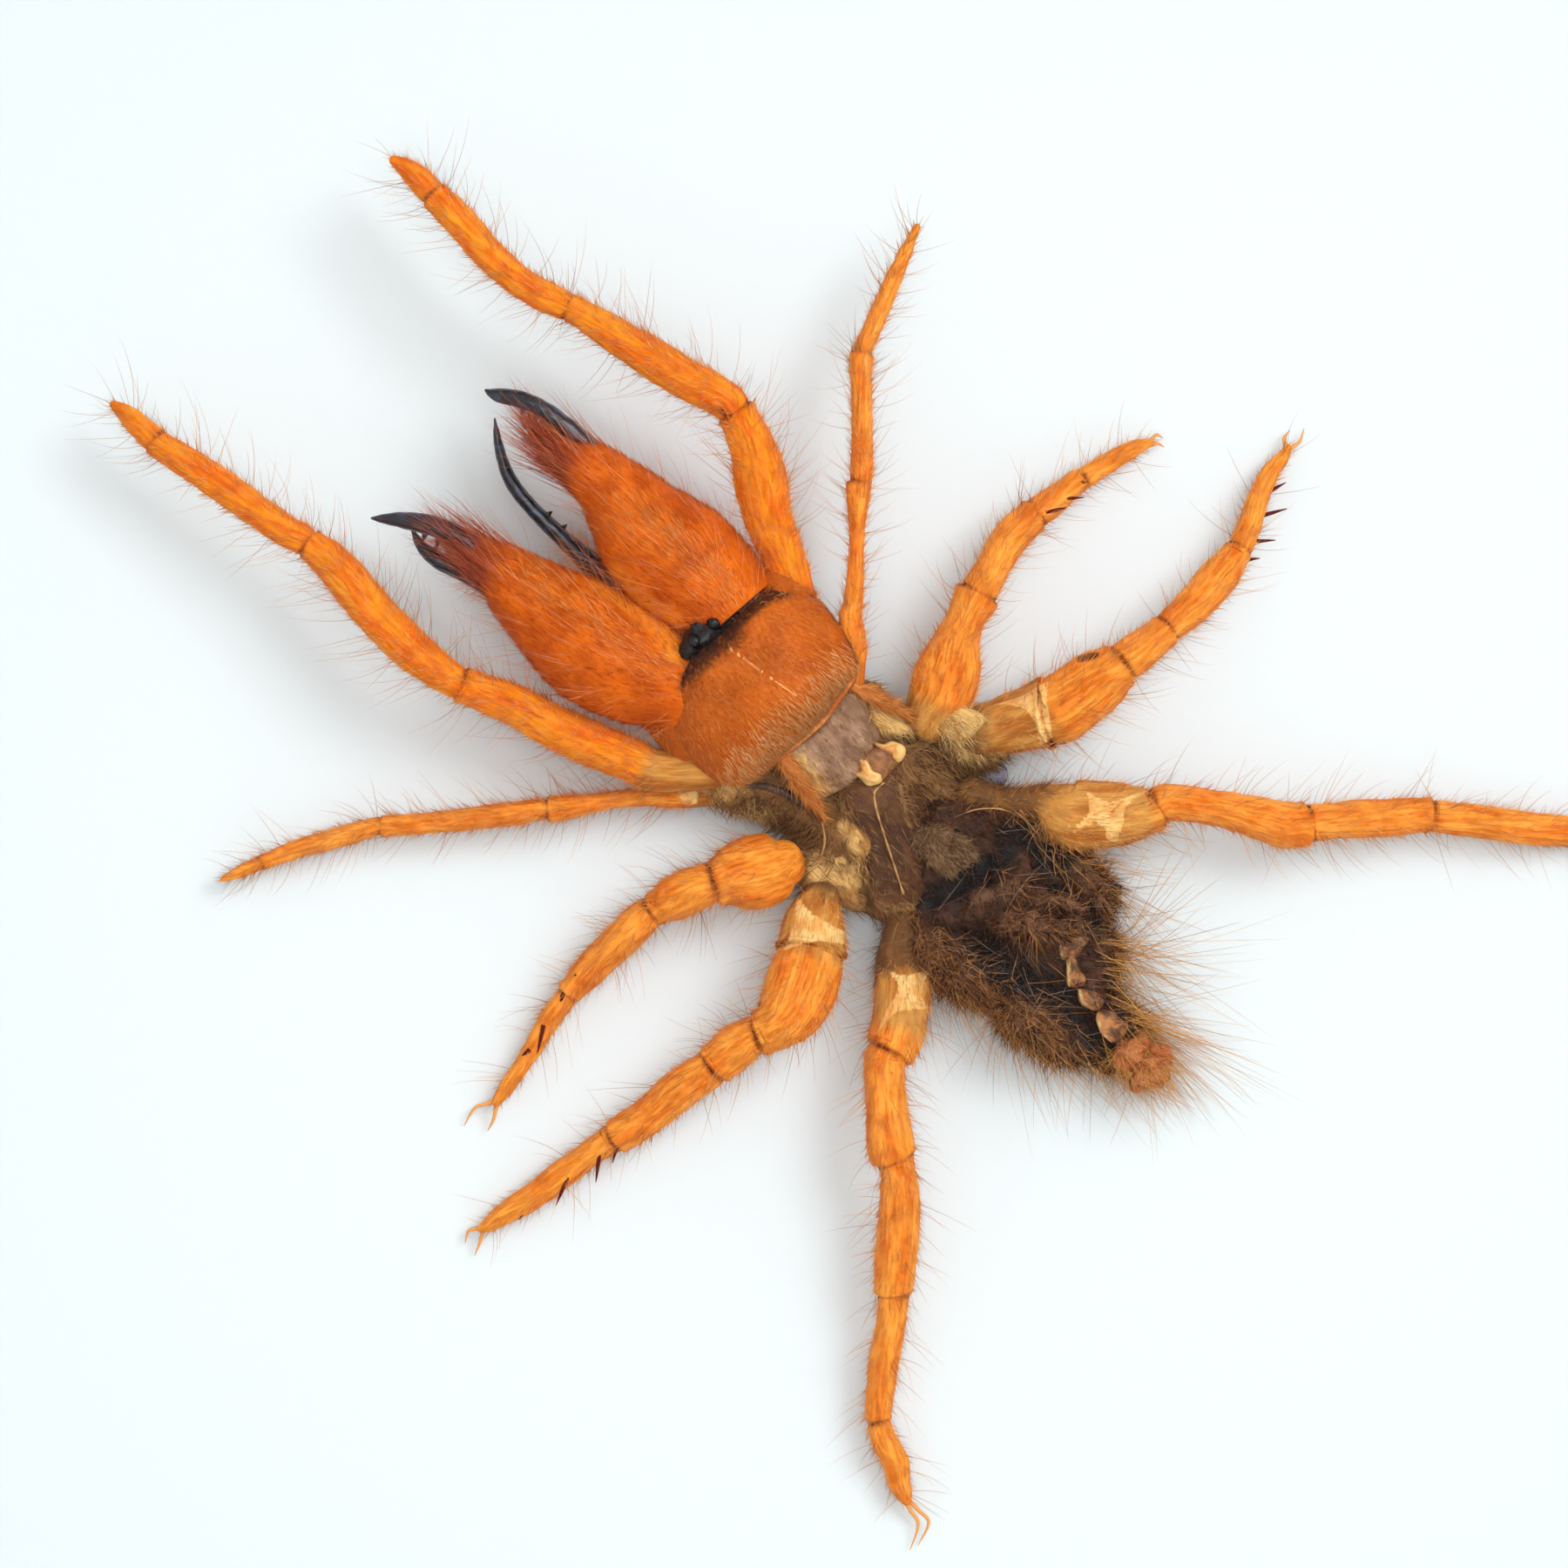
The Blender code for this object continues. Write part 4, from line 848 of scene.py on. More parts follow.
DARK_STROKES = {
    "leg_3_right": ((0.45, (1240, 757), (1258, 752)),),
    "leg_3_left": ((0.35, (866, 1145), (871, 1152)),),
    "leg_2_right": ((0.2, (1242, 553), (1245, 554)),),
    "leg_4_right": ((0.12, (1207, 911), (1209, 912)),),
    "pedipalp_right": ((0.3, (826, 470), (833, 476)),),
}
ROOT_LENGTH = {
    "leg_4_right": 5.0, "leg_4_left": 3.4, "leg_3_right": 1.0, "leg_3_left": 2.0, "leg_1_left": 0.9,
}
TAN_LENGTH = {
    "pedipalp_left": 4.5, "leg_1_left": 2.6, "leg_3_right": 6.0, "leg_3_left": 6.0, "leg_4_right": 12.0,
    "leg_4_left": 7.0, "leg_2_right": 1.5,
}

SPINES = {
    "leg_2_right": ((1200, 588, 1224, 583, 5.2), (1214, 573, 1244, 571, 4.7)),
    "leg_2_left": (
        (662, 1118, 654, 1142, 3.5), (647, 1139, 640, 1163, 3.1), (624, 1177, 617, 1209, 2.7),
        (608, 1205, 595, 1217, 2.3),
    ),
    "leg_3_right": (
        (1451, 567, 1476, 554, 2.1), (1445, 593, 1477, 584, 2.5), (1432, 622, 1464, 620, 3.0),
        (1422, 643, 1446, 641, 3.4),
    ),
    "leg_3_left": (
        (710, 1308, 703, 1335, 3.3), (688, 1325, 684, 1357, 3.0), (653, 1349, 638, 1384, 2.7),
        (618, 1366, 596, 1400, 2.3),
    ),
}
SPINE_DROP = 0.5
SPINE_SIZES = (0.3, 0.24, 0.06)
TOOTH_SIZES = (0.42, 0.32, 0.06)
NOWHERE = -9.0

# Root, middle, bend and tip of a claw: height above the card and thickness in mm
CLAW_STATIONS = ((1.15, 0.3), (1.0, 0.26), (0.85, 0.2), (0.55, 0.05))

CLAWS = {
    "leg_2_right": ((1316, 509, 1328, 499, 1335, 503), (1316, 511, 1329, 509, 1336, 513)),
    "leg_2_left": ((572, 1262, 545, 1272, 533, 1292), (572, 1263, 566, 1286, 560, 1298)),
    "leg_3_right": ((1477, 518, 1474, 503, 1481, 494), (1478, 518, 1492, 507, 1497, 492)),
    "leg_3_left": ((556, 1408, 538, 1413, 534, 1427), (556, 1409, 551, 1426, 545, 1441)),
    "leg_4_right": ((1842, 957, 1861, 947, 1870, 955), (1842, 958, 1861, 963, 1868, 972)),
    "leg_4_left": ((1040, 1718, 1066, 1747, 1054, 1774), (1036, 1718, 1054, 1749, 1045, 1779)),
}

# The jaws: bulbs, then the black fixed and movable fingers, from the head outwards
JAW_BULBS = {
    "right": (
        (842, 706, 6.4, 6.4, 7.2), (828, 690, 6.4, 6.9, 7.7), (802, 664, 6.4, 7.6, 8.4),
        (772, 640, 6.4, 7.8, 8.6), (739, 605, 6.5, 6.7, 7.6), (718, 580, 6.6, 5.5, 6.5),
        (697, 557, 6.8, 4.4, 5.4), (676, 540, 7.0, 3.7, 4.4), (657, 524, 7.1, 3.1, 3.6),
        (642, 510, 7.2, 2.1, 2.6), (630, 498, 7.3, 1.1, 1.4),
    ),
    "left": (
        (790, 792, 6.0, 5.6, 6.8), (768, 783, 6.1, 6.3, 7.6), (741, 770, 6.1, 7.1, 8.2),
        (706, 753, 6.2, 7.7, 8.5), (668, 729, 6.2, 7.4, 8.2), (636, 705, 6.3, 6.3, 7.2),
        (604, 680, 6.5, 4.9, 5.8), (580, 658, 6.7, 3.7, 4.6), (560, 642, 6.9, 2.7, 3.4),
        (543, 630, 7.0, 1.8, 2.2), (530, 622, 7.1, 1.0, 1.2),
    ),
}
FIXED_FINGERS = {
    "right": (
        (692, 534, 7.2, 1.5, 1.7), (672, 511, 7.6, 1.4, 1.6), (650, 490, 7.8, 1.25, 1.5),
        (631, 475, 7.9, 1.15, 1.3), (613, 464, 7.8, 1.1, 1.2), (592, 457, 7.6, 1.1, 1.1),
        (574, 454, 7.4, 0.95, 0.9), (563, 451, 7.2, 0.55, 0.5), (558, 448, 7.1, 0.2, 0.2),
    ),
    "left": (
        (572, 640, 7.2, 1.6, 1.7), (552, 632, 7.3, 1.5, 1.6), (535, 621, 7.4, 1.4, 1.5),
        (514, 610, 7.4, 1.35, 1.4), (486, 601, 7.2, 1.25, 1.2), (462, 597, 6.9, 1.05, 1.0),
        (443, 596, 6.6, 0.7, 0.6), (427, 595, 6.4, 0.2, 0.2),
    ),
}
MOVABLE_FINGERS = {
    "right": (
        (706, 672, 4.3, 2.0, 2.6), (684, 652, 4.1, 1.7, 2.2), (663, 634, 4.0, 1.3, 1.8),
        (641, 613, 4.0, 1.1, 1.4), (616, 589, 4.1, 1.0, 1.2), (596, 566, 4.3, 0.95, 1.0),
        (583, 545, 4.5, 0.85, 0.95), (575, 521, 4.8, 0.7, 0.8), (570, 498, 5.1, 0.45, 0.5),
        (568, 481, 5.3, 0.12, 0.15),
    ),
    "left": (
        (602, 702, 4.3, 1.9, 2.3), (580, 684, 4.1, 1.7, 2.1), (556, 667, 4.0, 1.5, 1.9),
        (530, 655, 4.1, 1.3, 1.5), (509, 646, 4.3, 1.2, 1.3), (492, 635, 4.7, 0.95, 1.0),
        (480, 621, 5.1, 0.6, 0.65), (472, 605, 5.5, 0.15, 0.2),
    ),
}
# Teeth on the fingers: x and y of the foot and of the point, and a height above the card
JAW_TEETH = {
    "right": (
        (602, 466, 598, 478, 7.4), (617, 474, 612, 487, 7.4), (644, 608, 651, 602, 4.3),
        (627, 592, 634, 587, 4.4),
    ),
    "left": (
        (488, 612, 486, 621, 6.9), (503, 618, 502, 628, 6.9), (519, 628, 517, 636, 6.8),
        (497, 633, 503, 625, 5.4), (512, 640, 517, 632, 5.0), (526, 646, 532, 638, 4.8),
    ),
}

# Strokes on the jaws: width in mm, then points; along the shine, pale hairs are a painted highlight
JAW_INNER = {
    "right": (1.4, (704, 660), (730, 690), (770, 715)),
    "left": (1.4, (690, 668), (730, 694), (764, 722), (776, 748)),
}
JAW_SHINE = {
    "right": (1.6, (722, 585), (770, 618), (812, 660), (838, 690)),
    "left": (1.5, (610, 664), (662, 700), (720, 742), (752, 770)),
}

# Outlines on the photograph: x, y and the height of the rim above the card
HEAD_SHIELD = (
    (770, 783, 8.2), (788, 761, 8.5), (806, 744, 8.7), (826, 727, 8.8), (849, 704, 8.6), (867, 688, 8.2),
    (882, 677, 7.6), (898, 673, 7.0), (915, 674, 6.6), (930, 680, 6.3), (943, 690, 6.1), (956, 705, 6.0),
    (968, 723, 6.0), (978, 741, 6.1), (985, 760, 6.3), (981, 775, 6.6), (972, 787, 6.9), (959, 804, 7.1),
    (944, 825, 7.2), (923, 845, 7.2), (903, 861, 7.1), (882, 880, 6.8), (864, 895, 6.4), (845, 902, 6.0),
    (824, 898, 5.8), (806, 888, 5.7), (788, 872, 5.8), (773, 850, 6.2), (763, 828, 6.8), (763, 804, 7.6),
)
SIDE_LOBES = {
    "right": (
        (866, 668, 6.6), (878, 654, 6.3), (896, 651, 6.0), (914, 657, 5.8), (928, 669, 5.7),
        (938, 682, 5.7), (930, 692, 6.2), (905, 690, 6.8), (880, 688, 7.0),
    ),
    "left": (
        (734, 812, 5.6), (748, 800, 6.0), (764, 797, 6.5), (780, 815, 6.7), (792, 845, 6.4),
        (800, 872, 5.8), (788, 879, 5.5), (768, 866, 5.3), (750, 848, 5.3), (738, 830, 5.4),
    ),
}
THORAX = (
    (800, 884, 2.8), (840, 862, 3.6), (900, 810, 5.0), (950, 775, 4.8), (985, 785, 4.0), (1012, 802, 3.6),
    (1045, 818, 3.2), (1070, 824, 3.0), (1104, 812, 3.0), (1140, 818, 3.0), (1154, 838, 3.0),
    (1150, 860, 2.8), (1134, 884, 2.5), (1122, 905, 2.4), (1130, 935, 2.4), (1122, 975, 2.5),
    (1100, 1010, 2.6), (1068, 1046, 2.6), (1036, 1060, 2.5), (1004, 1048, 2.5), (975, 1040, 2.6),
    (938, 1026, 2.6), (914, 1006, 2.6), (900, 970, 2.5), (872, 944, 2.3), (836, 930, 2.2), (806, 914, 2.2),
    (790, 898, 2.4),
)
MIDDLE_PLATE = (
    (908, 862, 6.7), (940, 836, 6.9), (968, 798, 6.8), (992, 800, 6.4), (998, 822, 6.5), (1010, 846, 6.4),
    (1000, 868, 6.6), (984, 892, 6.4), (964, 908, 6.1), (940, 916, 5.8), (924, 896, 6.2),
)
HIND_PLATE = (
    (960, 905, 5.6), (985, 893, 6.0), (1012, 890, 6.1), (1030, 880, 5.9), (1044, 890, 5.7),
    (1052, 925, 5.3), (1062, 975, 4.9), (1068, 1020, 4.4), (1052, 1050, 4.0), (1024, 1052, 4.0),
    (1000, 1035, 4.2), (984, 990, 4.5), (968, 945, 5.0),
)
BETWEEN_LUMPS = (
    (986, 878, 6.6), (1004, 858, 6.9), (1030, 856, 6.9), (1038, 866, 6.7), (1026, 882, 6.6),
    (1008, 898, 6.4), (990, 894, 6.4),
)
CREAM_LUMPS = (
    ((1003, 852, 7.0), (1014, 855, 7.1), (1026, 851, 7.1), (1037, 856, 7.0), (1040, 865, 6.8),
     (1035, 873, 6.7), (1029, 875, 6.8), (1026, 867, 7.0), (1014, 863, 7.1)),
    ((986, 871, 6.8), (996, 873, 6.9), (1001, 884, 6.8), (1012, 889, 6.7), (1011, 898, 6.5),
     (998, 902, 6.4), (986, 894, 6.4), (979, 887, 6.5), (988, 885, 6.7)),
)
FLUFFY_LOBE = (
    (1048, 960, 5.8), (1066, 950, 6.2), (1084, 948, 6.4), (1104, 955, 6.4), (1114, 970, 6.3),
    (1121, 984, 6.1), (1108, 997, 6.1), (1092, 1005, 5.9), (1073, 992, 5.9), (1056, 980, 5.7),
)
HIP_LOBES = {
    "hip_lobe_1": (
        (1054, 822, 5.0), (1080, 815, 5.4), (1108, 815, 5.6), (1132, 822, 5.4), (1138, 840, 5.2),
        (1118, 850, 5.2), (1086, 846, 5.2), (1060, 836, 5.0),
    ),
    "hip_lobe_2": (
        (1090, 846, 5.0), (1118, 842, 5.0), (1146, 840, 4.8), (1152, 856, 4.6), (1136, 874, 4.4),
        (1116, 876, 4.5), (1098, 866, 4.8),
    ),
    "hip_lobe_7": (
        (988, 806, 5.6), (1006, 804, 5.6), (1030, 816, 5.4), (1048, 832, 5.2), (1046, 846, 5.4),
        (1026, 844, 5.8), (1006, 836, 6.0), (992, 820, 5.9),
    ),
    "hip_lobe_3": (
        (918, 994, 3.6), (940, 976, 4.0), (964, 970, 4.4), (980, 988, 4.4), (982, 1014, 4.0),
        (972, 1036, 3.4), (948, 1032, 3.2), (926, 1018, 3.2),
    ),
    "hip_lobe_4": (
        (962, 948, 4.8), (978, 940, 5.0), (998, 950, 5.0), (1010, 976, 4.8), (1012, 1004, 4.4),
        (996, 1018, 4.2), (982, 1004, 4.4), (970, 974, 4.6),
    ),
    "hip_lobe_5": (
        (800, 884, 3.6), (826, 880, 4.0), (856, 896, 4.2), (884, 916, 4.0), (888, 938, 3.4),
        (862, 940, 3.0), (830, 926, 3.0), (804, 908, 3.2),
    ),
}
# Fine ridges and lines of the thorax: stations as for the limbs
RIDGES = {
    "shield_back_ridge": (
        (979, 780, 7.1, 0.3, 0.3), (970, 792, 7.4, 0.42, 0.4), (944, 827, 7.6, 0.46, 0.4),
        (920, 849, 7.5, 0.44, 0.4), (899, 866, 7.3, 0.4, 0.35), (882, 882, 6.9, 0.2, 0.25),
    ),
    "left_band_ridge": (
        (899, 870, 6.8, 0.7, 0.5), (913, 890, 6.6, 1.15, 0.7), (930, 914, 6.2, 0.95, 0.6),
        (947, 938, 5.7, 0.2, 0.2),
    ),
    "right_band_ridge": (
        (980, 788, 6.9, 0.5, 0.4), (1000, 798, 6.6, 0.95, 0.6), (1024, 810, 6.2, 0.8, 0.6),
        (1046, 824, 5.7, 0.25, 0.3),
    ),
    "dark_ridge": (
        (856, 902, 5.4, 0.3, 0.4), (880, 903, 5.5, 0.5, 0.5), (904, 912, 5.5, 0.6, 0.6),
        (926, 926, 5.4, 0.5, 0.5), (944, 944, 5.2, 0.25, 0.25),
    ),
    "cream_line_left": (
        (944, 944, 5.3, 0.14, 0.2), (947, 964, 5.1, 0.16, 0.2), (943, 982, 4.8, 0.14, 0.2),
        (937, 994, 4.5, 0.1, 0.1),
    ),
    "cream_line_right": (
        (1014, 899, 6.5, 0.1, 0.15), (1004, 910, 6.5, 0.14, 0.2), (1007, 932, 6.4, 0.14, 0.2),
        (1015, 958, 6.2, 0.13, 0.2), (1026, 992, 5.8, 0.12, 0.2), (1037, 1026, 5.3, 0.1, 0.12),
    ),
    "cream_edge_hip": (
        (1046, 818, 4.9, 0.12, 0.2), (1064, 824, 5.2, 0.16, 0.25), (1092, 823, 5.6, 0.16, 0.25),
        (1124, 806, 5.4, 0.12, 0.2),
    ),
    "abdomen_edge_line": (
        (1096, 938, 6.2, 0.06, 0.1), (1118, 930, 6.3, 0.09, 0.15), (1142, 928, 6.1, 0.09, 0.15),
        (1160, 932, 5.6, 0.05, 0.1),
    ),
}

ABDOMEN = (
    (1052, 928, 3.4), (1088, 912, 3.4), (1130, 908, 3.2), (1162, 916, 3.0), (1200, 940, 2.8),
    (1228, 970, 2.7), (1250, 994, 2.6), (1270, 1018, 2.6), (1279, 1046, 2.5), (1278, 1078, 2.4),
    (1280, 1110, 2.3), (1288, 1144, 2.2), (1302, 1170, 2.1), (1312, 1196, 2.0), (1304, 1228, 1.9),
    (1282, 1232, 1.9), (1250, 1221, 1.9), (1214, 1208, 2.0), (1182, 1194, 2.0), (1158, 1172, 2.1),
    (1130, 1150, 2.2), (1096, 1140, 2.3), (1070, 1122, 2.4), (1048, 1096, 2.6), (1030, 1060, 2.8),
    (1028, 1010, 3.0), (1034, 966, 3.2),
)
ABDOMEN_VALLEYS = (
    (2.0, (1064, 1036), (1090, 1022), (1122, 1002), (1152, 988), (1164, 954), (1196, 958), (1218, 980)),
    (2.6, (1130, 1098), (1168, 1126), (1206, 1136), (1234, 1160), (1258, 1184), (1276, 1214)),
    (0.9, (1070, 1060), (1110, 1080), (1150, 1084)), (0.8, (1200, 1010), (1236, 1030), (1262, 1060)),
)
ABDOMEN_RIDGES = (
    (1.2, (1122, 1026), (1152, 1010), (1190, 1024), (1238, 1040)),
    (1.6, (1056, 1080), (1096, 1112), (1140, 1136), (1186, 1172), (1240, 1206)),
    (1.0, (1182, 930), (1222, 976), (1256, 1014), (1264, 1080)),
    (0.9, (1160, 1056), (1200, 1066), (1232, 1060)),
)
ABDOMEN_SEGMENTS = (
    ((1212, 1076, 6.0), (1222, 1074, 6.3), (1232, 1072, 6.2), (1248, 1078, 5.8), (1241, 1089, 5.8),
     (1233, 1103, 5.6), (1226, 1102, 5.8), (1219, 1100, 5.9), (1216, 1088, 6.1)),
    ((1225, 1102, 5.9), (1233, 1101, 6.0), (1241, 1114, 5.6), (1246, 1130, 5.3), (1240, 1134, 5.3),
     (1226, 1132, 5.7), (1225, 1116, 5.9)),
    ((1237, 1135, 5.6), (1251, 1137, 5.4), (1267, 1148, 5.0), (1263, 1158, 5.0), (1254, 1161, 5.1),
     (1243, 1152, 5.4)),
    ((1259, 1163, 5.0), (1274, 1162, 4.9), (1292, 1176, 4.5), (1288, 1188, 4.5), (1274, 1196, 4.6),
     (1264, 1185, 4.9)),
)
TAIL_LOBES = (
    ((1284, 1200, 3.2), (1298, 1190, 3.3), (1314, 1192, 3.2), (1318, 1204, 3.1), (1306, 1222, 3.0),
     (1290, 1236, 2.9), (1280, 1220, 3.0)),
    ((1300, 1238, 2.9), (1314, 1212, 3.1), (1328, 1198, 3.0), (1343, 1206, 2.8), (1346, 1222, 2.6),
     (1334, 1242, 2.5), (1312, 1252, 2.5), (1298, 1250, 2.6)),
)


EYE_MOUND = (
    (838, 702, 8.5, 0.6, 0.8), (827, 710, 8.8, 1.5, 1.5), (816, 720, 9.0, 1.9, 1.8),
    (806, 731, 9.0, 1.7, 1.8), (796, 742, 8.9, 1.8, 1.7), (786, 753, 8.6, 1.2, 1.3),
    (778, 764, 8.3, 0.6, 0.8),
)
EYES = ((819, 715), (797, 736))

# Paint on the body: strokes as width in mm, then points
MIDDLE_LINE = ((829, 738), (870, 768), (916, 800))
PAINT = {
    "shield_front": (
        (0.75, (770, 794), (792, 768), (811, 749), (831, 731), (853, 709), (871, 692), (886, 682),
         (900, 678)),
        (1.5, (790, 768), (812, 746), (836, 724)),
    ),
    "shield_side": ((0.25, (915, 673), (943, 689), (968, 722), (985, 760)),),
    "shield_shade": ((3.0, (780, 870), (800, 885), (840, 900)), (2.0, (765, 800), (775, 850))),
    # The band on the shield's back where pale hairs are a painted highlight
    "shield_back": ((2.6, (966, 786), (940, 818), (906, 850), (870, 884)),),
    "thorax_tan": (
        (1.6, (1048, 826), (1085, 830), (1140, 838)), (1.6, (977, 950), (1000, 985), (985, 1010)),
        (2.2, (915, 985), (950, 1010), (975, 1030)), (1.1, (1000, 815), (1036, 838)),
        (1.6, (800, 895), (850, 912)), (1.0, (1084, 845), (1130, 862)),
    ),
    "thorax_dark": (
        (1.0, (984, 893), (1000, 904), (1010, 925)), (2.0, (1012, 940), (1034, 990), (1050, 1030)),
        (1.2, (1034, 842), (1054, 852), (1080, 856)), (1.5, (1062, 868), (1100, 884), (1128, 908)),
        (1.4, (862, 925), (905, 950), (925, 965)),
    ),
    "thorax_fur": ((3.6, (1044, 850), (1090, 868), (1130, 884)),),
    "thorax_left_fur": ((2.4, (870, 925), (905, 945), (930, 975), (925, 1000)),),
    "plate_gold": ((1.6, (916, 872), (936, 896), (946, 908)),),
    "plate_dark": ((0.8, (984, 894), (1004, 868), (1012, 846)),),
    "hind_tan": (
        (1.0, (968, 925), (980, 965), (994, 1010)), (1.0, (1000, 1040), (1024, 1048), (1050, 1042)),
        (0.5, (1032, 900), (1046, 950)),
    ),
    "hind_dark": ((1.3, (1020, 920), (1028, 965), (1046, 1020)), (0.9, (986, 902), (1006, 900))),
    # The lumps' pale cream edges, widened into painted highlight on their bright sides
    "lump_rims_and_highlights": (
        (0.7, (1036, 856), (1037, 866), (1032, 876)), (0.35, (1003, 852), (1014, 854), (1028, 851)),
        (0.8, (988, 896), (1000, 901), (1012, 894)), (0.35, (996, 874), (1000, 886), (1010, 889)),
    ),
    "abdomen_left": ((2.4, (1052, 1084), (1094, 1116), (1140, 1142), (1200, 1188)),),
    "abdomen_side": ((2.2, (1276, 1080), (1284, 1130), (1296, 1160)),),
}

Coat = namedtuple("Coat", "count shortest longest radius lift lean stray bend curl parts",
                  defaults=(0.6, 0.8, 0.15, 0.0, 0.08, 1))

# The hairs: how many (on each millimetre of limb, for fuzz, setae and root_hair), their shortest and longest
# length and their radius in mm, how much they stand up, lean along, stray, bend and curl, and their parts
COATS = {
    "palp_fuzz": Coat(72, 0.3, 0.9, 0.026, 0.65, 0.75, 0.2),
    "leg_fuzz": Coat(62, 0.3, 0.9, 0.026, 0.65, 0.75, 0.2),
    "palp_setae": Coat(7, 1.4, 4.4, 0.019, 1.0, 0.4, 0.24, 0.25, 0.12, 5),
    "leg_setae": Coat(5, 1.4, 3.4, 0.019, 1.0, 0.4, 0.24, 0.25, 0.12, 5),
    "root_hair": Coat(150, 0.4, 1.4, 0.02, 0.5, 0.8, 0.4),
    "joint_setae": Coat(26, 0.8, 2.2, 0.014, 0.9, 0.5, 0.2, 0.2, 0.1, 4),
    "chelicera_fuzz": Coat(7500, 0.35, 0.85, 0.021, 0.3, 0.95, 0.12),
    "chelicera_setae": Coat(300, 1.2, 3.8, 0.018, 0.8, 0.7, 0.25, 0.3, 0.12, 5),
    "chelicera_glints": Coat(700, 0.4, 0.9, 0.022, 0.3, 0.95, 0.14),
    "chelicera_fan": Coat(520, 1.6, 4.6, 0.026, 0.35, 1.0, 0.2, 0.1, 0.1, 4),
    "finger_hair": Coat(260, 0.6, 1.8, 0.016, 0.8, 0.5, 0.3, 0.1, 0.15, 3),
    "shield_fuzz": Coat(5500, 0.25, 0.6, 0.017, 0.35, 0.9, 0.2),
    "shield_back_hair": Coat(2200, 0.4, 0.9, 0.022, 0.3, 0.95),
    "shield_front_hair": Coat(900, 0.4, 1.1, 0.02, 0.8, 0.5, 0.35),
    "side_lobe_hair": Coat(500, 0.3, 0.8, 0.014, 0.5, 0.8, 0.2),
    "eye_hair": Coat(320, 0.3, 1.2, 0.018, 1.0, 0.3, 0.4, 0.0, 0.08, 2),
    "thorax_fur": Coat(4200, 0.5, 1.5, 0.032, 0.5, 0.8, 0.3),
    "thorax_left_fur": Coat(1000, 0.6, 1.6, 0.03, 0.8, 0.6, 0.3),
    "hip_hair": Coat(620, 0.4, 1.3, 0.03, 0.4, 0.8, 0.4),
    "middle_plate_hair": Coat(500, 0.3, 0.9, 0.022, 0.3, 0.9, 0.25),
    "hind_plate_hair": Coat(900, 0.4, 1.2, 0.028, 0.4, 0.8, 0.4),
    "band_hair": Coat(800, 0.5, 1.3, 0.024, 0.45, 1.0, 0.3),
    "fluffy_lobe_down": Coat(1600, 0.3, 0.8, 0.02, 0.5, 0.8, 0.35),
    "abdomen_dark_fur": Coat(7500, 0.5, 1.6, 0.036, 0.7, 0.7, 0.5),
    "abdomen_brown_fur": Coat(3400, 0.6, 2.0, 0.032, 0.8, 0.6, 0.8),
    "abdomen_setae": Coat(560, 1.5, 6.5, 0.02, 0.6, 0.9, 0.35, 0.2, 0.12, 5),
    "abdomen_dark_setae": Coat(320, 1.2, 4.5, 0.018, 0.6, 0.8, 0.45, 0.2, 0.2, 4),
    "abdomen_side_tuft": Coat(150, 4.0, 11.0, 0.026, 0.3, 1.0, 0.16, 0.1, 0.1, 6),
    "abdomen_top_setae": Coat(90, 2.5, 6.0, 0.018, 0.35, 0.9, 0.5, 0.1, 0.15, 6),
    "tail_segment_hair": Coat(36, 0.5, 1.6, 0.016, 0.7, 0.7, 0.3, 0.1, 0.1, 4),
    "tail_lobe_hair": Coat(190, 0.8, 3.6, 0.017, 0.8, 0.7, 0.3, 0.15, 0.12, 5),
}


def thorn(foot_x, foot_y, tip_x, tip_y, height, sizes, drop=0.0):
    """Stations of a short point from its foot to its tip, which lies lower by the drop."""
    places = ((foot_x, foot_y), ((foot_x + tip_x) / 2, (foot_y + tip_y) / 2), (tip_x, tip_y))
    return [(*place, height - drop * share, size, size)
            for place, share, size in zip(places, (0.0, 0.5, 1.0), sizes)]


def claw(root_x, root_y, bend_x, bend_y, tip_x, tip_y):
    """Stations of a claw, which stoops towards the card."""
    middle = ((root_x + bend_x) / 2, (root_y + bend_y) / 2)
    places = ((root_x, root_y), middle, (bend_x, bend_y), (tip_x, tip_y))
    return [(*place, height, size, size) for place, (height, size) in zip(places, CLAW_STATIONS)]


def points_piece(name, shapes, spacing, steps, finish, slot):
    """Spines, claws or teeth of one limb or jaw as one piece."""
    skins = [Skin(stations, spacing=spacing, steps=steps) for stations in shapes]
    if skins:
        new_piece(name, *joined(skins), finish, slot)


def fade(distance, soft):
    """1 well inside a distance and 0 beyond it, soft at its end, in mm."""
    return np.clip(distance / soft + 0.5, 0, 1)


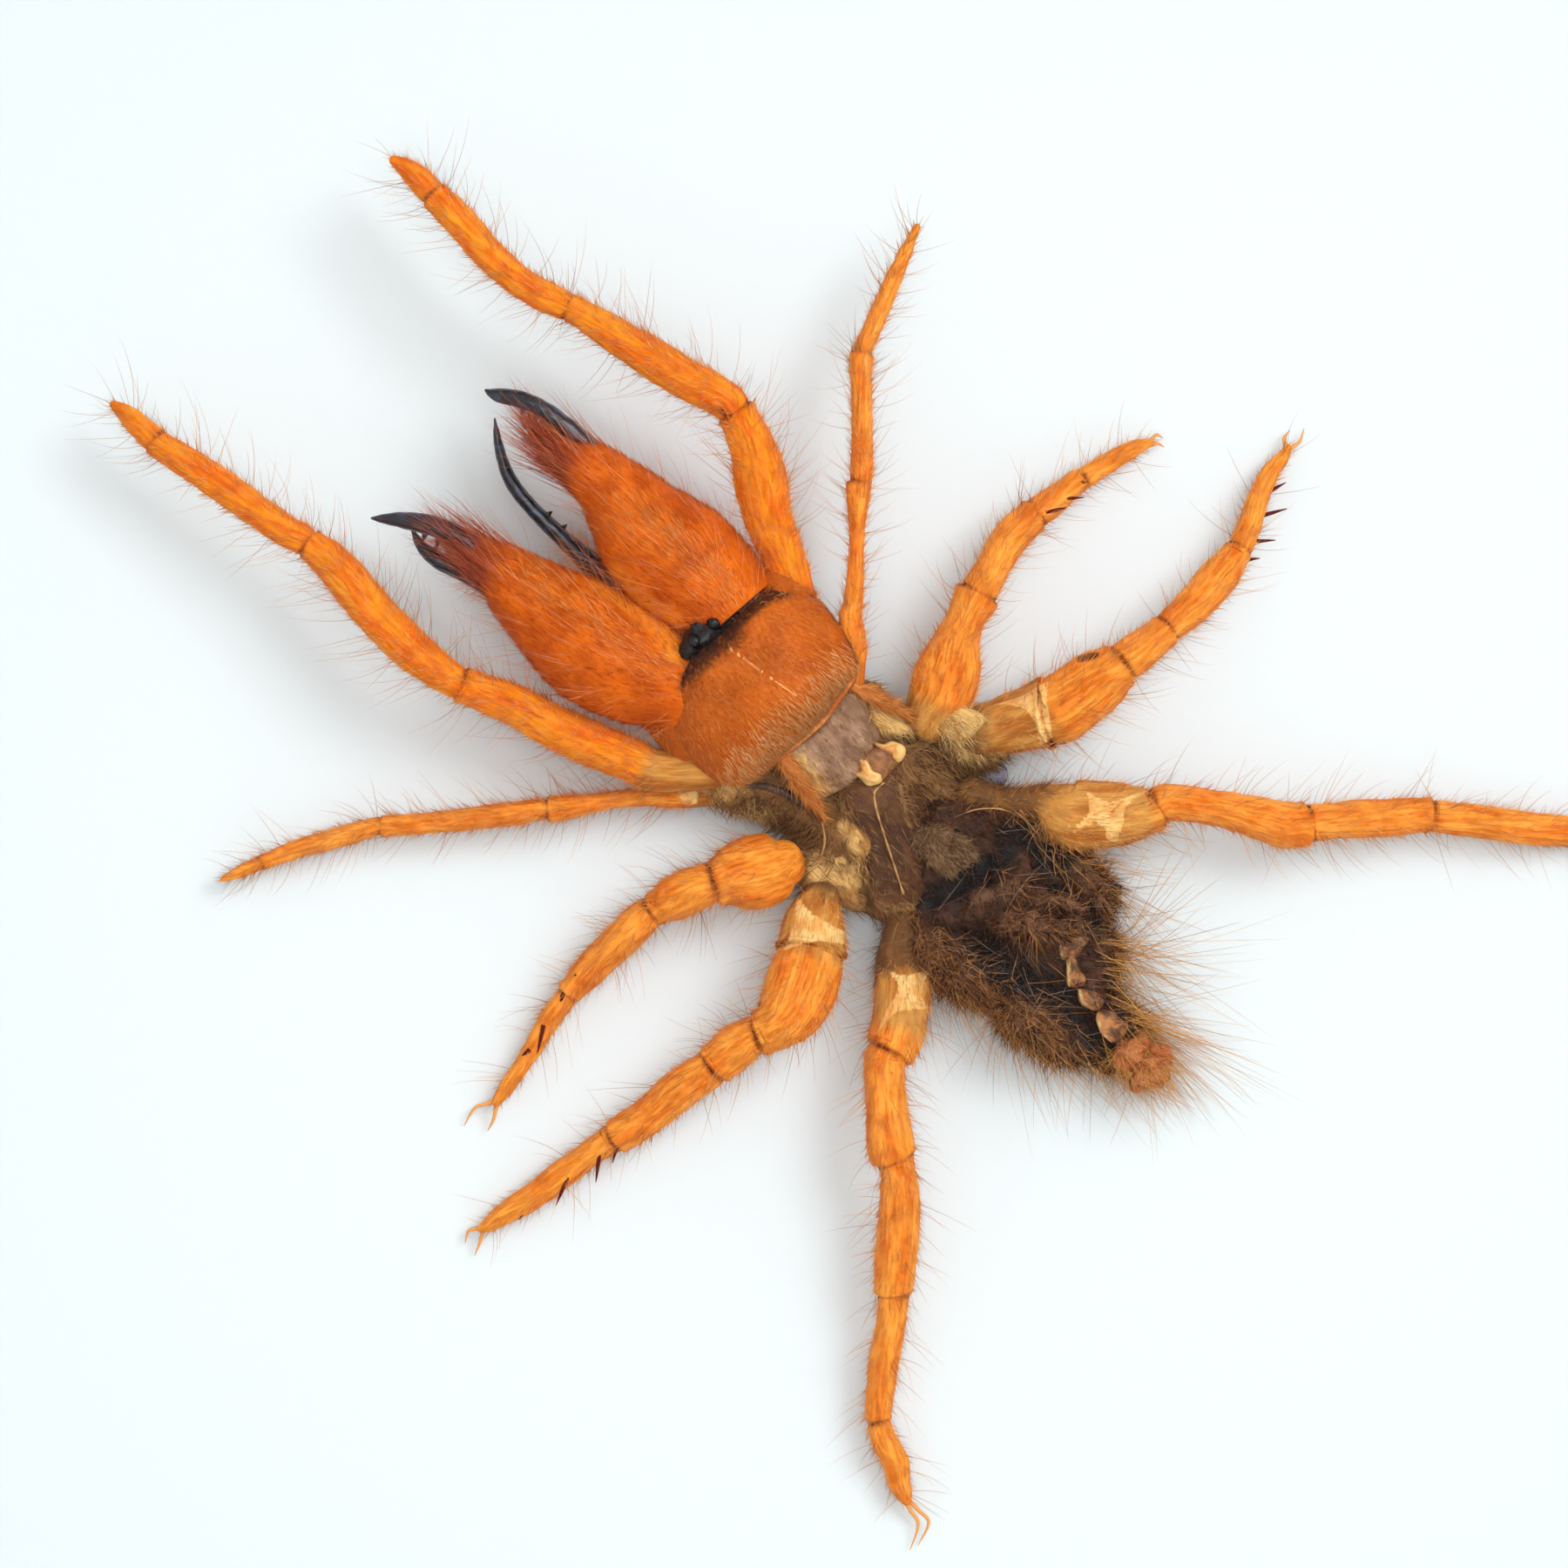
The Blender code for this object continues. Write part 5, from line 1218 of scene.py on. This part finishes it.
def make_limbs():
    slot = "chitin_orange"
    skins = {
        "palp": limb_skin("palp_skin", rgb(255, 148, 2), rgb(246, 102, 0), rgb(150, 44, 2)),
        "leg": limb_skin("leg_skin", rgb(255, 158, 50), rgb(238, 112, 12), rgb(128, 40, 6)),
    }
    pale = hair_finish("pale_hair", rgb(255, 186, 108), rgb(206, 92, 26))
    setae = hair_finish("limb_setae", rgb(232, 164, 104), rgb(156, 88, 46))
    dark = hair_finish("dark_setae", rgb(120, 74, 50), rgb(70, 44, 34))
    root_hair = hair_finish("root_hair", rgb(150, 104, 66), rgb(56, 34, 22))
    spine_horn = hair_finish("spine_horn", rgb(92, 26, 20), rgb(52, 16, 14), 0.3)
    claw_horn = hair_finish("claw_horn", rgb(232, 156, 84), rgb(196, 108, 46), 0.3)
    for name, segments in LIMBS.items():
        kind = "palp" if name.startswith("pedipalp") else "leg"
        steps = 60 if name in CREAM_PATCHES else 32
        skin = Skin(*segments, steps=steps, collar=0.1, round_ends=(True, True))
        skin.roughen(0.07, 1.2)
        skin.push(np.cos(3 * skin.angle + 0.7) * 0.03 * np.abs(skin.side).max(1, keepdims=True))
        cream = skin.blank()
        for outline in CREAM_PATCHES.get(name, ()):
            cream = np.maximum(cream, skin.patch(outline))
        tan_end, root_end = TAN_LENGTH.get(name, NOWHERE), ROOT_LENGTH.get(name, NOWHERE)
        skin.build(name + "_skin", skins[kind], slot, (name,), joint=skin.joint_paint(0.2), cream=cream,
                   tan=fade(tan_end - skin.along, 1.2), root=fade(root_end - skin.along, 1.5),
                   dark=skin.strokes(*DARK_STROKES.get(name, ())))
        furry = np.clip((skin.along - 0.06 * skin.length) / 0.5, 0, 1)
        fur(name + "_fuzz", skin, pale, slot, where=furry, coat=kind + "_fuzz", times=skin.length)
        outer = furry * (skin.normals[..., 2] > -0.6)
        fur(name + "_setae", skin, setae, slot, where=outer, coat=kind + "_setae", times=skin.length)
        if root_end > 0:
            rooted = np.clip((root_end + 1.0 - skin.along) / 1.5, 0, 1)
            fur(name + "_root_hair", skin, root_hair, slot, where=rooted, coat="root_hair", times=root_end)
        near_joints = sum(np.exp(-((skin.along - joint) / 1.3) ** 2) for joint in skin.joints)
        fur(name + "_dark_setae", skin, dark, slot, where=near_joints * outer, coat="joint_setae")
        spines = [thorn(*spine, SPINE_SIZES, SPINE_DROP) for spine in SPINES.get(name, ())]
        points_piece(name + "_spines", spines, 0.15, 8, spine_horn, slot)
        claws = [claw(*places) for places in CLAWS.get(name, ())]
        points_piece(name + "_claws", claws, 0.12, 8, claw_horn, slot)


def make_jaws():
    slot = "chitin_red"
    shell, black = jaw_skin(), horn()
    fuzz = hair_finish("jaw_fuzz", rgb(240, 118, 16), rgb(178, 60, 2))
    bristle = hair_finish("jaw_bristle", rgb(226, 116, 76), rgb(128, 40, 24))
    pale = hair_finish("jaw_setae", rgb(250, 176, 124), rgb(210, 110, 66))
    highlight_hair = hair_finish("jaw_glint_hair", rgb(255, 196, 112), rgb(242, 128, 36))
    for side in ("right", "left"):
        jaw = f"chelicera_{side}"
        skin = Skin(JAW_BULBS[side], spacing=0.16, steps=64, square=2.1)
        skin.roughen(0.14, 0.4)
        front = skin.between(skin.length - 4.0, 99.0, 3.0)
        skin.build(jaw + "_skin", shell, slot, (jaw,), light=skin.strokes(JAW_INNER[side]), tip=front)
        fur(jaw + "_fuzz", skin, fuzz, slot, coat="chelicera_fuzz")
        fur(jaw + "_setae", skin, pale, slot, coat="chelicera_setae")
        # Painted highlight: pale hairs along the jaw's shine
        shine = skin.strokes(JAW_SHINE[side], soft=1.2)
        fur(jaw + "_glints", skin, highlight_hair, slot, where=shine, coat="chelicera_glints")
        fan = front * (0.3 + (skin.normals[..., 1] < 0.1))
        fur(jaw + "_fan", skin, bristle, slot, where=fan, coat="chelicera_fan")
        fingers = (
            ("fixed", FIXED_FINGERS, jaw, 1.6), ("movable", MOVABLE_FINGERS, f"movable_finger_{side}", 3.6),
        )
        for words, stations, node, root_length in fingers:
            finger = Skin(stations[side], spacing=0.1, steps=24)
            finger.roughen(0.05, 1.5)
            root = np.clip(1.0 - finger.along / root_length, 0, 1)
            finger.build(f"{words}_finger_{side}_horn", black, "horn", (node,), root=root)
        fur(f"finger_{side}_hair", finger, pale, "horn", where=finger.between(-1.0, 4.5), coat="finger_hair")
        teeth = [thorn(*tooth, TOOTH_SIZES) for tooth in JAW_TEETH[side]]
        points_piece(f"teeth_{side}", teeth, 0.1, 10, black, "horn")


def lump(outline, shape, *bumps, crown=None):
    """A dome over an outline. The shape is its rise, skirt, fullness, steps and rings. A bump is a height in
    mm and how many there are on a millimetre."""
    dome = Dome(outline, *shape, crown)
    for bump in bumps:
        dome.roughen(*bump)
    return dome


def make_shield():
    slot = HEAD[0]
    finish = shield_skin()
    shield = lump(HEAD_SHIELD, (3.4, 1.5, 2.6, 128, 44), (0.14, 0.3))
    groove, seam = shield.strokes((0.5, *MIDDLE_LINE)), shield.strokes((0.14, *MIDDLE_LINE))
    shield.push(-0.12 * groove + 0.08 * seam)
    dark = shield.strokes(*PAINT["shield_front"], soft=1.3, top_only=False)
    side_line = shield.strokes(*PAINT["shield_side"], soft=1.2, top_only=False)
    pale = shield.strokes((0.1, *MIDDLE_LINE), soft=0.8)
    shade = shield.strokes(*PAINT["shield_shade"], soft=1.0)
    shield.build("head_shield", finish, *HEAD, dark=np.maximum(dark, side_line * 0.7), pale=pale, shade=shade)
    glint = hair_finish("shield_hair", rgb(246, 170, 88), rgb(176, 72, 12))
    # Painted highlight: pale hairs along the shield's back stand in for its shine
    highlight_hair = hair_finish("shield_highlight_hair", rgb(255, 206, 140), rgb(236, 128, 44), 0.35)
    brown = hair_finish("brown_hair", rgb(186, 132, 80), rgb(72, 44, 26))
    slow = hair_finish("shield_dark_hair", rgb(70, 44, 36), rgb(30, 22, 22))
    back = shield.strokes(*PAINT["shield_back"], soft=1.2)
    fur("shield_fuzz", shield, glint, slot, flow=TAILWARD, where=(0.35 + back) * (1.0 - pale))
    fur("shield_back_hair", shield, highlight_hair, slot, flow=TAILWARD, where=back * (1.0 - pale))
    fur("shield_front_hair", shield, slow, slot, where=dark)
    for side, outline in SIDE_LOBES.items():
        lobe = lump(outline, (1.5, 0.8, 2.0, 64, 20))
        lobe.build(f"side_lobe_{side}", finish, *HEAD, shade=lobe.blank() + 0.6)
        fur(f"side_lobe_{side}_hair", lobe, glint, slot, flow=TAILWARD, coat="side_lobe_hair")
    make_eyes(slow)
    return glint, brown


def make_eyes(hair):
    """The dark mound at the shield's front edge, with its two glossy eyes."""
    mound = Skin(EYE_MOUND, spacing=0.1, steps=40, round_ends=(True, True))
    mound.roughen(0.35, 1.1)
    mound.roughen(0.12, 3.0)
    mound.build("eye_mound", waxy_skin("eye_black", rgb(12, 9, 10), rgb(34, 20, 15)), *HEAD)
    gloss = Finish("eye_gloss", specular_ior_level=0.3)
    gloss.colour(gloss.mix(rgb(4, 4, 6), rgb(10, 10, 14), gloss.noise(1.0)))
    gloss.roughness(0.08 + 0.06 * gloss.noise(2.0))
    eyes = [
        Skin(((x - 5, y - 5, 9.4, 0.7, 0.6), (x, y, 9.75, 0.85, 0.8), (x + 5, y + 5, 9.5, 0.6, 0.6)),
             spacing=0.08, steps=24, round_ends=(True, True)) for x, y in EYES
    ]
    new_piece("eyes", *joined(eyes), gloss.material, HEAD[0])
    fur("eye_hair", mound, hair, HEAD[0])


def make_thorax(glint, brown):
    slot = HEAD[0]
    folds = fold_skin("fold_skin", rgb(160, 108, 62), rgb(98, 62, 34))
    thorax = lump(THORAX, (2.6, 1.4, 2.6, 144, 44), (0.9, 0.35), (0.3, 0.9), crown=(1000, 915))
    tan, dark = thorax.strokes(*PAINT["thorax_tan"]), thorax.strokes(*PAINT["thorax_dark"])
    thorax.push(0.35 * tan - 0.35 * dark)
    thorax.build("thorax_folds", folds, *HEAD, tan=tan, dark=dark)
    right_mass = thorax.strokes(*PAINT["thorax_fur"], soft=0.8)
    fur("thorax_fur", thorax, brown, slot, flow=TAILWARD, where=0.12 + right_mass)
    left_mass = thorax.strokes(*PAINT["thorax_left_fur"], soft=0.8)
    fur("thorax_left_fur", thorax, brown, slot, flow=(-0.7, -0.6, 0), where=left_mass)

    hip_hair = hair_finish("hip_hair", rgb(255, 214, 140), rgb(164, 108, 58))
    for name, outline in HIP_LOBES.items():
        lobe = lump(outline, (0.5, 1.2, 3.0, 96, 34), (0.4, 0.4), (0.1, 1.2))
        tone = 0.4 if name == "hip_lobe_5" else 1.0
        rim_shade = np.clip((lobe.share - 0.86) / 0.12, 0, 1)
        lobe.build(name, folds, *HEAD, tan=tone * (1 - 0.6 * rim_shade), dark=0.4 * rim_shade)
        fur(name + "_hair", lobe, hip_hair, slot, flow=TAILWARD, coat="hip_hair")

    make_plates(brown)
    make_cream_lumps()
    make_ridges(glint)
    lobe = lump(FLUFFY_LOBE, (0.7, 2.2, 2.6, 72, 22), (0.45, 0.5), (0.2, 1.3))
    lobe.build("fluffy_lobe", fold_skin("fluff_skin", rgb(142, 104, 68), rgb(88, 60, 38), 0.5), *BELLY)
    down = hair_finish("down_hair", rgb(188, 146, 104), rgb(92, 62, 38))
    fur("fluffy_lobe_down", lobe, down, BELLY[0], flow=TAILWARD)


def make_plates(brown):
    """The two dried plates behind the head shield."""
    finish = fold_skin("plate_skin", rgb(188, 143, 112), rgb(130, 92, 66), 0.24)
    plate = lump(MIDDLE_PLATE, (0.75, 0.8, 2.2, 96, 28), (0.12, 0.5))
    gold, dark = plate.strokes(*PAINT["plate_gold"], soft=1.0), plate.strokes(*PAINT["plate_dark"], soft=1.2)
    plate.build("middle_plate", finish, *HEAD, tan=gold * 0.8, dark=dark * 0.6)
    fur("middle_plate_hair", plate, brown, HEAD[0], flow=TAILWARD)
    finish = fold_skin("hind_skin", rgb(116, 72, 42), rgb(74, 44, 26), 0.3)
    hind = lump(HIND_PLATE, (1.0, 0.9, 2.6, 96, 28), (0.4, 0.4), (0.1, 1.2))
    tan, dark = hind.strokes(*PAINT["hind_tan"], soft=1.2), hind.strokes(*PAINT["hind_dark"], soft=1.2)
    hind.build("hind_plate", finish, *HEAD, tan=tan * 0.55, dark=dark * 0.6)
    fur("hind_plate_hair", hind, brown, HEAD[0], flow=TAILWARD, where=0.15 + tan)


def make_cream_lumps():
    amber = waxy_skin("amber_skin", rgb(168, 108, 60), rgb(120, 74, 40))
    lump(BETWEEN_LUMPS, (0.35, 0.8, 2.0, 48, 14)).build("lump_bridge", amber, *HEAD)
    wax = waxy_skin("cream_wax", rgb(236, 166, 88), rgb(188, 116, 56))
    for number, outline in enumerate(CREAM_LUMPS, 1):
        bead = lump(outline, (0.55, 0.8, 2.0, 48, 16), (0.12, 1.6))
        # Rim paint: the lumps' pale edges, with painted highlight on their bright sides
        bead.build(f"cream_lump_{number}", wax, *HEAD, rim=bead.strokes(*PAINT["lump_rims_and_highlights"]))


def make_ridges(glint):
    line_wax = waxy_skin("line_wax", rgb(216, 162, 96), rgb(150, 98, 52))
    bands = fold_skin("band_skin", rgb(236, 146, 74), rgb(186, 94, 34), 0.4)
    dark_skin = waxy_skin("dark_ridge_skin", rgb(84, 54, 38), rgb(50, 32, 24))
    for name, stations in RIDGES.items():
        is_band = "band" in name
        is_line = "cream" in name or "edge" in name
        ridge = Skin(stations, spacing=0.12, steps=14, round_ends=(True, True))
        ridge.roughen(0.16 if is_band else 0.04, 1.5)
        ridge.build(name, line_wax if is_line else dark_skin if name == "dark_ridge" else bands, *HEAD)
        if is_band:
            fur(name + "_hair", ridge, glint, HEAD[0], coat="band_hair")


def make_abdomen():
    slot = BELLY[0]
    skin = lump(ABDOMEN, (3.9, 1.3, 2.6, 160, 60), crown=(1166, 1066))
    valleys, ridges = skin.strokes(*ABDOMEN_VALLEYS, soft=0.9), skin.strokes(*ABDOMEN_RIDGES, soft=0.9)
    skin.push(0.8 * ridges - 1.3 * valleys)
    skin.roughen(0.9, 0.45)
    skin.roughen(0.35, 1.5)
    skin.build("abdomen_mass", abdomen_skin(), *BELLY, dark=valleys, fluff=ridges)
    dark = hair_finish("abdomen_dark_fur", rgb(96, 56, 36), rgb(14, 8, 6), 0.7)
    brown = hair_finish("abdomen_brown_fur", rgb(200, 132, 78), rgb(78, 45, 27), 0.7)
    gold = hair_finish("golden_hair", rgb(238, 174, 96), rgb(172, 108, 48))
    grey = hair_finish("grey_hair", rgb(176, 150, 130), rgb(92, 72, 62))
    rim = np.clip((skin.share - 0.8) / 0.15, 0, 1)
    left_fluff = skin.strokes(*PAINT["abdomen_left"], soft=1.0)
    side_tuft = skin.strokes(*PAINT["abdomen_side"], soft=1.0, top_only=False)
    toward_tail = np.clip((skin.points @ np.array(TAILWARD) - 3.0) / 8.0, 0, 1)
    fur("abdomen_dark_fur", skin, dark, slot, flow=TAILWARD, where=1.0 - 0.8 * valleys)
    tufts = (0.3 * ridges + 0.1 * rim + left_fluff) * (1.0 - valleys)
    fur("abdomen_brown_fur", skin, brown, slot, flow=TAILWARD, where=tufts)
    fur("abdomen_setae", skin, gold, slot, flow=TAILWARD, where=toward_tail * (0.03 + rim))
    fur("abdomen_dark_setae", skin, dark, slot, flow=TAILWARD, where=1.0 - 0.6 * rim)
    fur("abdomen_side_tuft", skin, gold, slot, flow=(0.95, -0.18, 0.1), where=side_tuft)
    top = (1 - rim) * (skin.normals[..., 2] > 0.3)
    fur("abdomen_top_setae", skin, grey, slot, flow=(0.9, -0.2, 0), where=top)

    wax = waxy_skin("segment_skin", rgb(186, 118, 66), rgb(86, 50, 28))
    for number, outline in enumerate(ABDOMEN_SEGMENTS, 1):
        segment = lump(outline, (0.45, 2.2, 2.6, 64, 22), (0.3, 0.9))
        pale_edge = segment.strokes((0.4, outline[0][:2], outline[-1][:2], outline[-2][:2]))
        segment.build(f"tail_segment_{number}", wax, *BELLY, rim=0.6 * pale_edge)
        fur(f"tail_segment_{number}_hair", segment, dark, slot, flow=TAILWARD, coat="tail_segment_hair")
    grains = granular_skin()
    for number, outline in enumerate(TAIL_LOBES, 1):
        lobe = lump(outline, (1.5, 1.4, 2.0, 64, 24), (0.5, 1.4))
        lobe.build(f"tail_lobe_{number}", grains, *BELLY)
        fur(f"tail_lobe_{number}_hair", lobe, gold, slot, flow=TAILWARD, coat="tail_lobe_hair")


def fill_mitre(name, across, along, finish):
    """The dark glue in the mitre at one corner of the frame: the rail's section, as thick as the gap."""
    outer, wall, face = MITRE_INWARD
    bottom, lip, top = MITRE_HEIGHTS
    section = ((outer, bottom), (wall, bottom), (wall, lip), (face, lip),
               (face, top), (wall, top), (outer, top), (outer, lip))
    vertices = [(across * (FRAME_HALF - inward + side), along * (FRAME_HALF - inward - side), z)
                for side in (MITRE_HALF, -MITRE_HALF) for inward, z in section]
    first_end = [(0, 1, 2), (0, 2, 7), (7, 2, 5), (7, 5, 6), (2, 3, 4), (2, 4, 5)]
    triangles = first_end + [tuple(8 + corner for corner in corners[::-1]) for corners in first_end]
    for this in range(8):
        after = (this + 1) % 8
        triangles += [(this, 8 + this, 8 + after), (this, 8 + after, after)]
    if across * along > 0:
        triangles = [corners[::-1] for corners in triangles]
    new_piece(name, vertices, triangles, finish, "black_wood").data.shade_flat()


def dress_frame():
    along_x = black_wood("black_wood_x", (0.06, 1.0, 1.0))
    along_y = black_wood("black_wood_y", (1.0, 0.06, 1.0))
    card = white_card()
    finishes = {
        "spacer": card, "mount": card, "backing": backing_board(), "fixing": steel(), "glass": glass(),
        "glue": glue(),
    }
    for name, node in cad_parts.items():
        finish = finishes.get(name.split("_")[0])
        if name.startswith("rail"):
            finish = along_x if name in ("rail_top", "rail_bottom") else along_y
            edge = node.modifiers.new("worn_edge", "BEVEL")
            edge.width = WORN_EDGE * MM
            edge.segments = 2
            edge.limit_method = "ANGLE"
        if finish:
            node.data.materials.clear()
            node.data.materials.append(finish)
    for name, across, along in MITRES:
        fill_mitre(f"mitre_glue_{name}", across, along, along_x)


def make_stage():
    bpy.ops.mesh.primitive_plane_add(size=6.0, location=(0, 0, -0.0002))
    floor = bpy.context.object
    floor.name = "floor"
    finish = Finish("floor", roughness=0.9, specular_ior_level=0.1)
    finish.colour(rgb(232, 233, 234))
    floor.data.materials.append(finish.material)

    scene = bpy.context.scene
    scene.world = bpy.data.worlds.new("studio")
    scene.world.use_nodes = True
    sky = scene.world.node_tree.nodes["Background"]
    sky.inputs["Color"].default_value = SKY_COLOUR
    sky.inputs["Strength"].default_value = SKY_STRENGTH

    for name, power, size, place in LAMPS:
        light = bpy.data.lights.new(name, "AREA")
        light.color = LAMP_COLOUR
        light.energy = power
        light.size = size
        holder = bpy.data.objects.new(name, light)
        holder.location = place
        holder.rotation_euler = (-Vector(place)).to_track_quat("-Z", "Y").to_euler()
        scene.collection.objects.link(holder)
    scene.view_settings.view_transform = "Standard"


def make_camera():
    lens = bpy.data.cameras.new("camera")
    lens.sensor_width = SENSOR
    lens.lens = SENSOR * CAMERA_ABOVE_CARD / CARD_SHOWN
    lens.clip_start, lens.clip_end = 0.01, 20.0
    camera = bpy.data.objects.new("camera", lens)
    centre = on_card((MIDDLE_PX, MIDDLE_PX), 0.0) * MM
    camera.location = (centre[0], centre[1], centre[2] + CAMERA_ABOVE_CARD * MM)
    bpy.context.scene.collection.objects.link(camera)
    bpy.context.scene.camera = camera


make_limbs()
make_jaws()
make_thorax(*make_shield())
make_abdomen()
dress_frame()
make_stage()
make_camera()
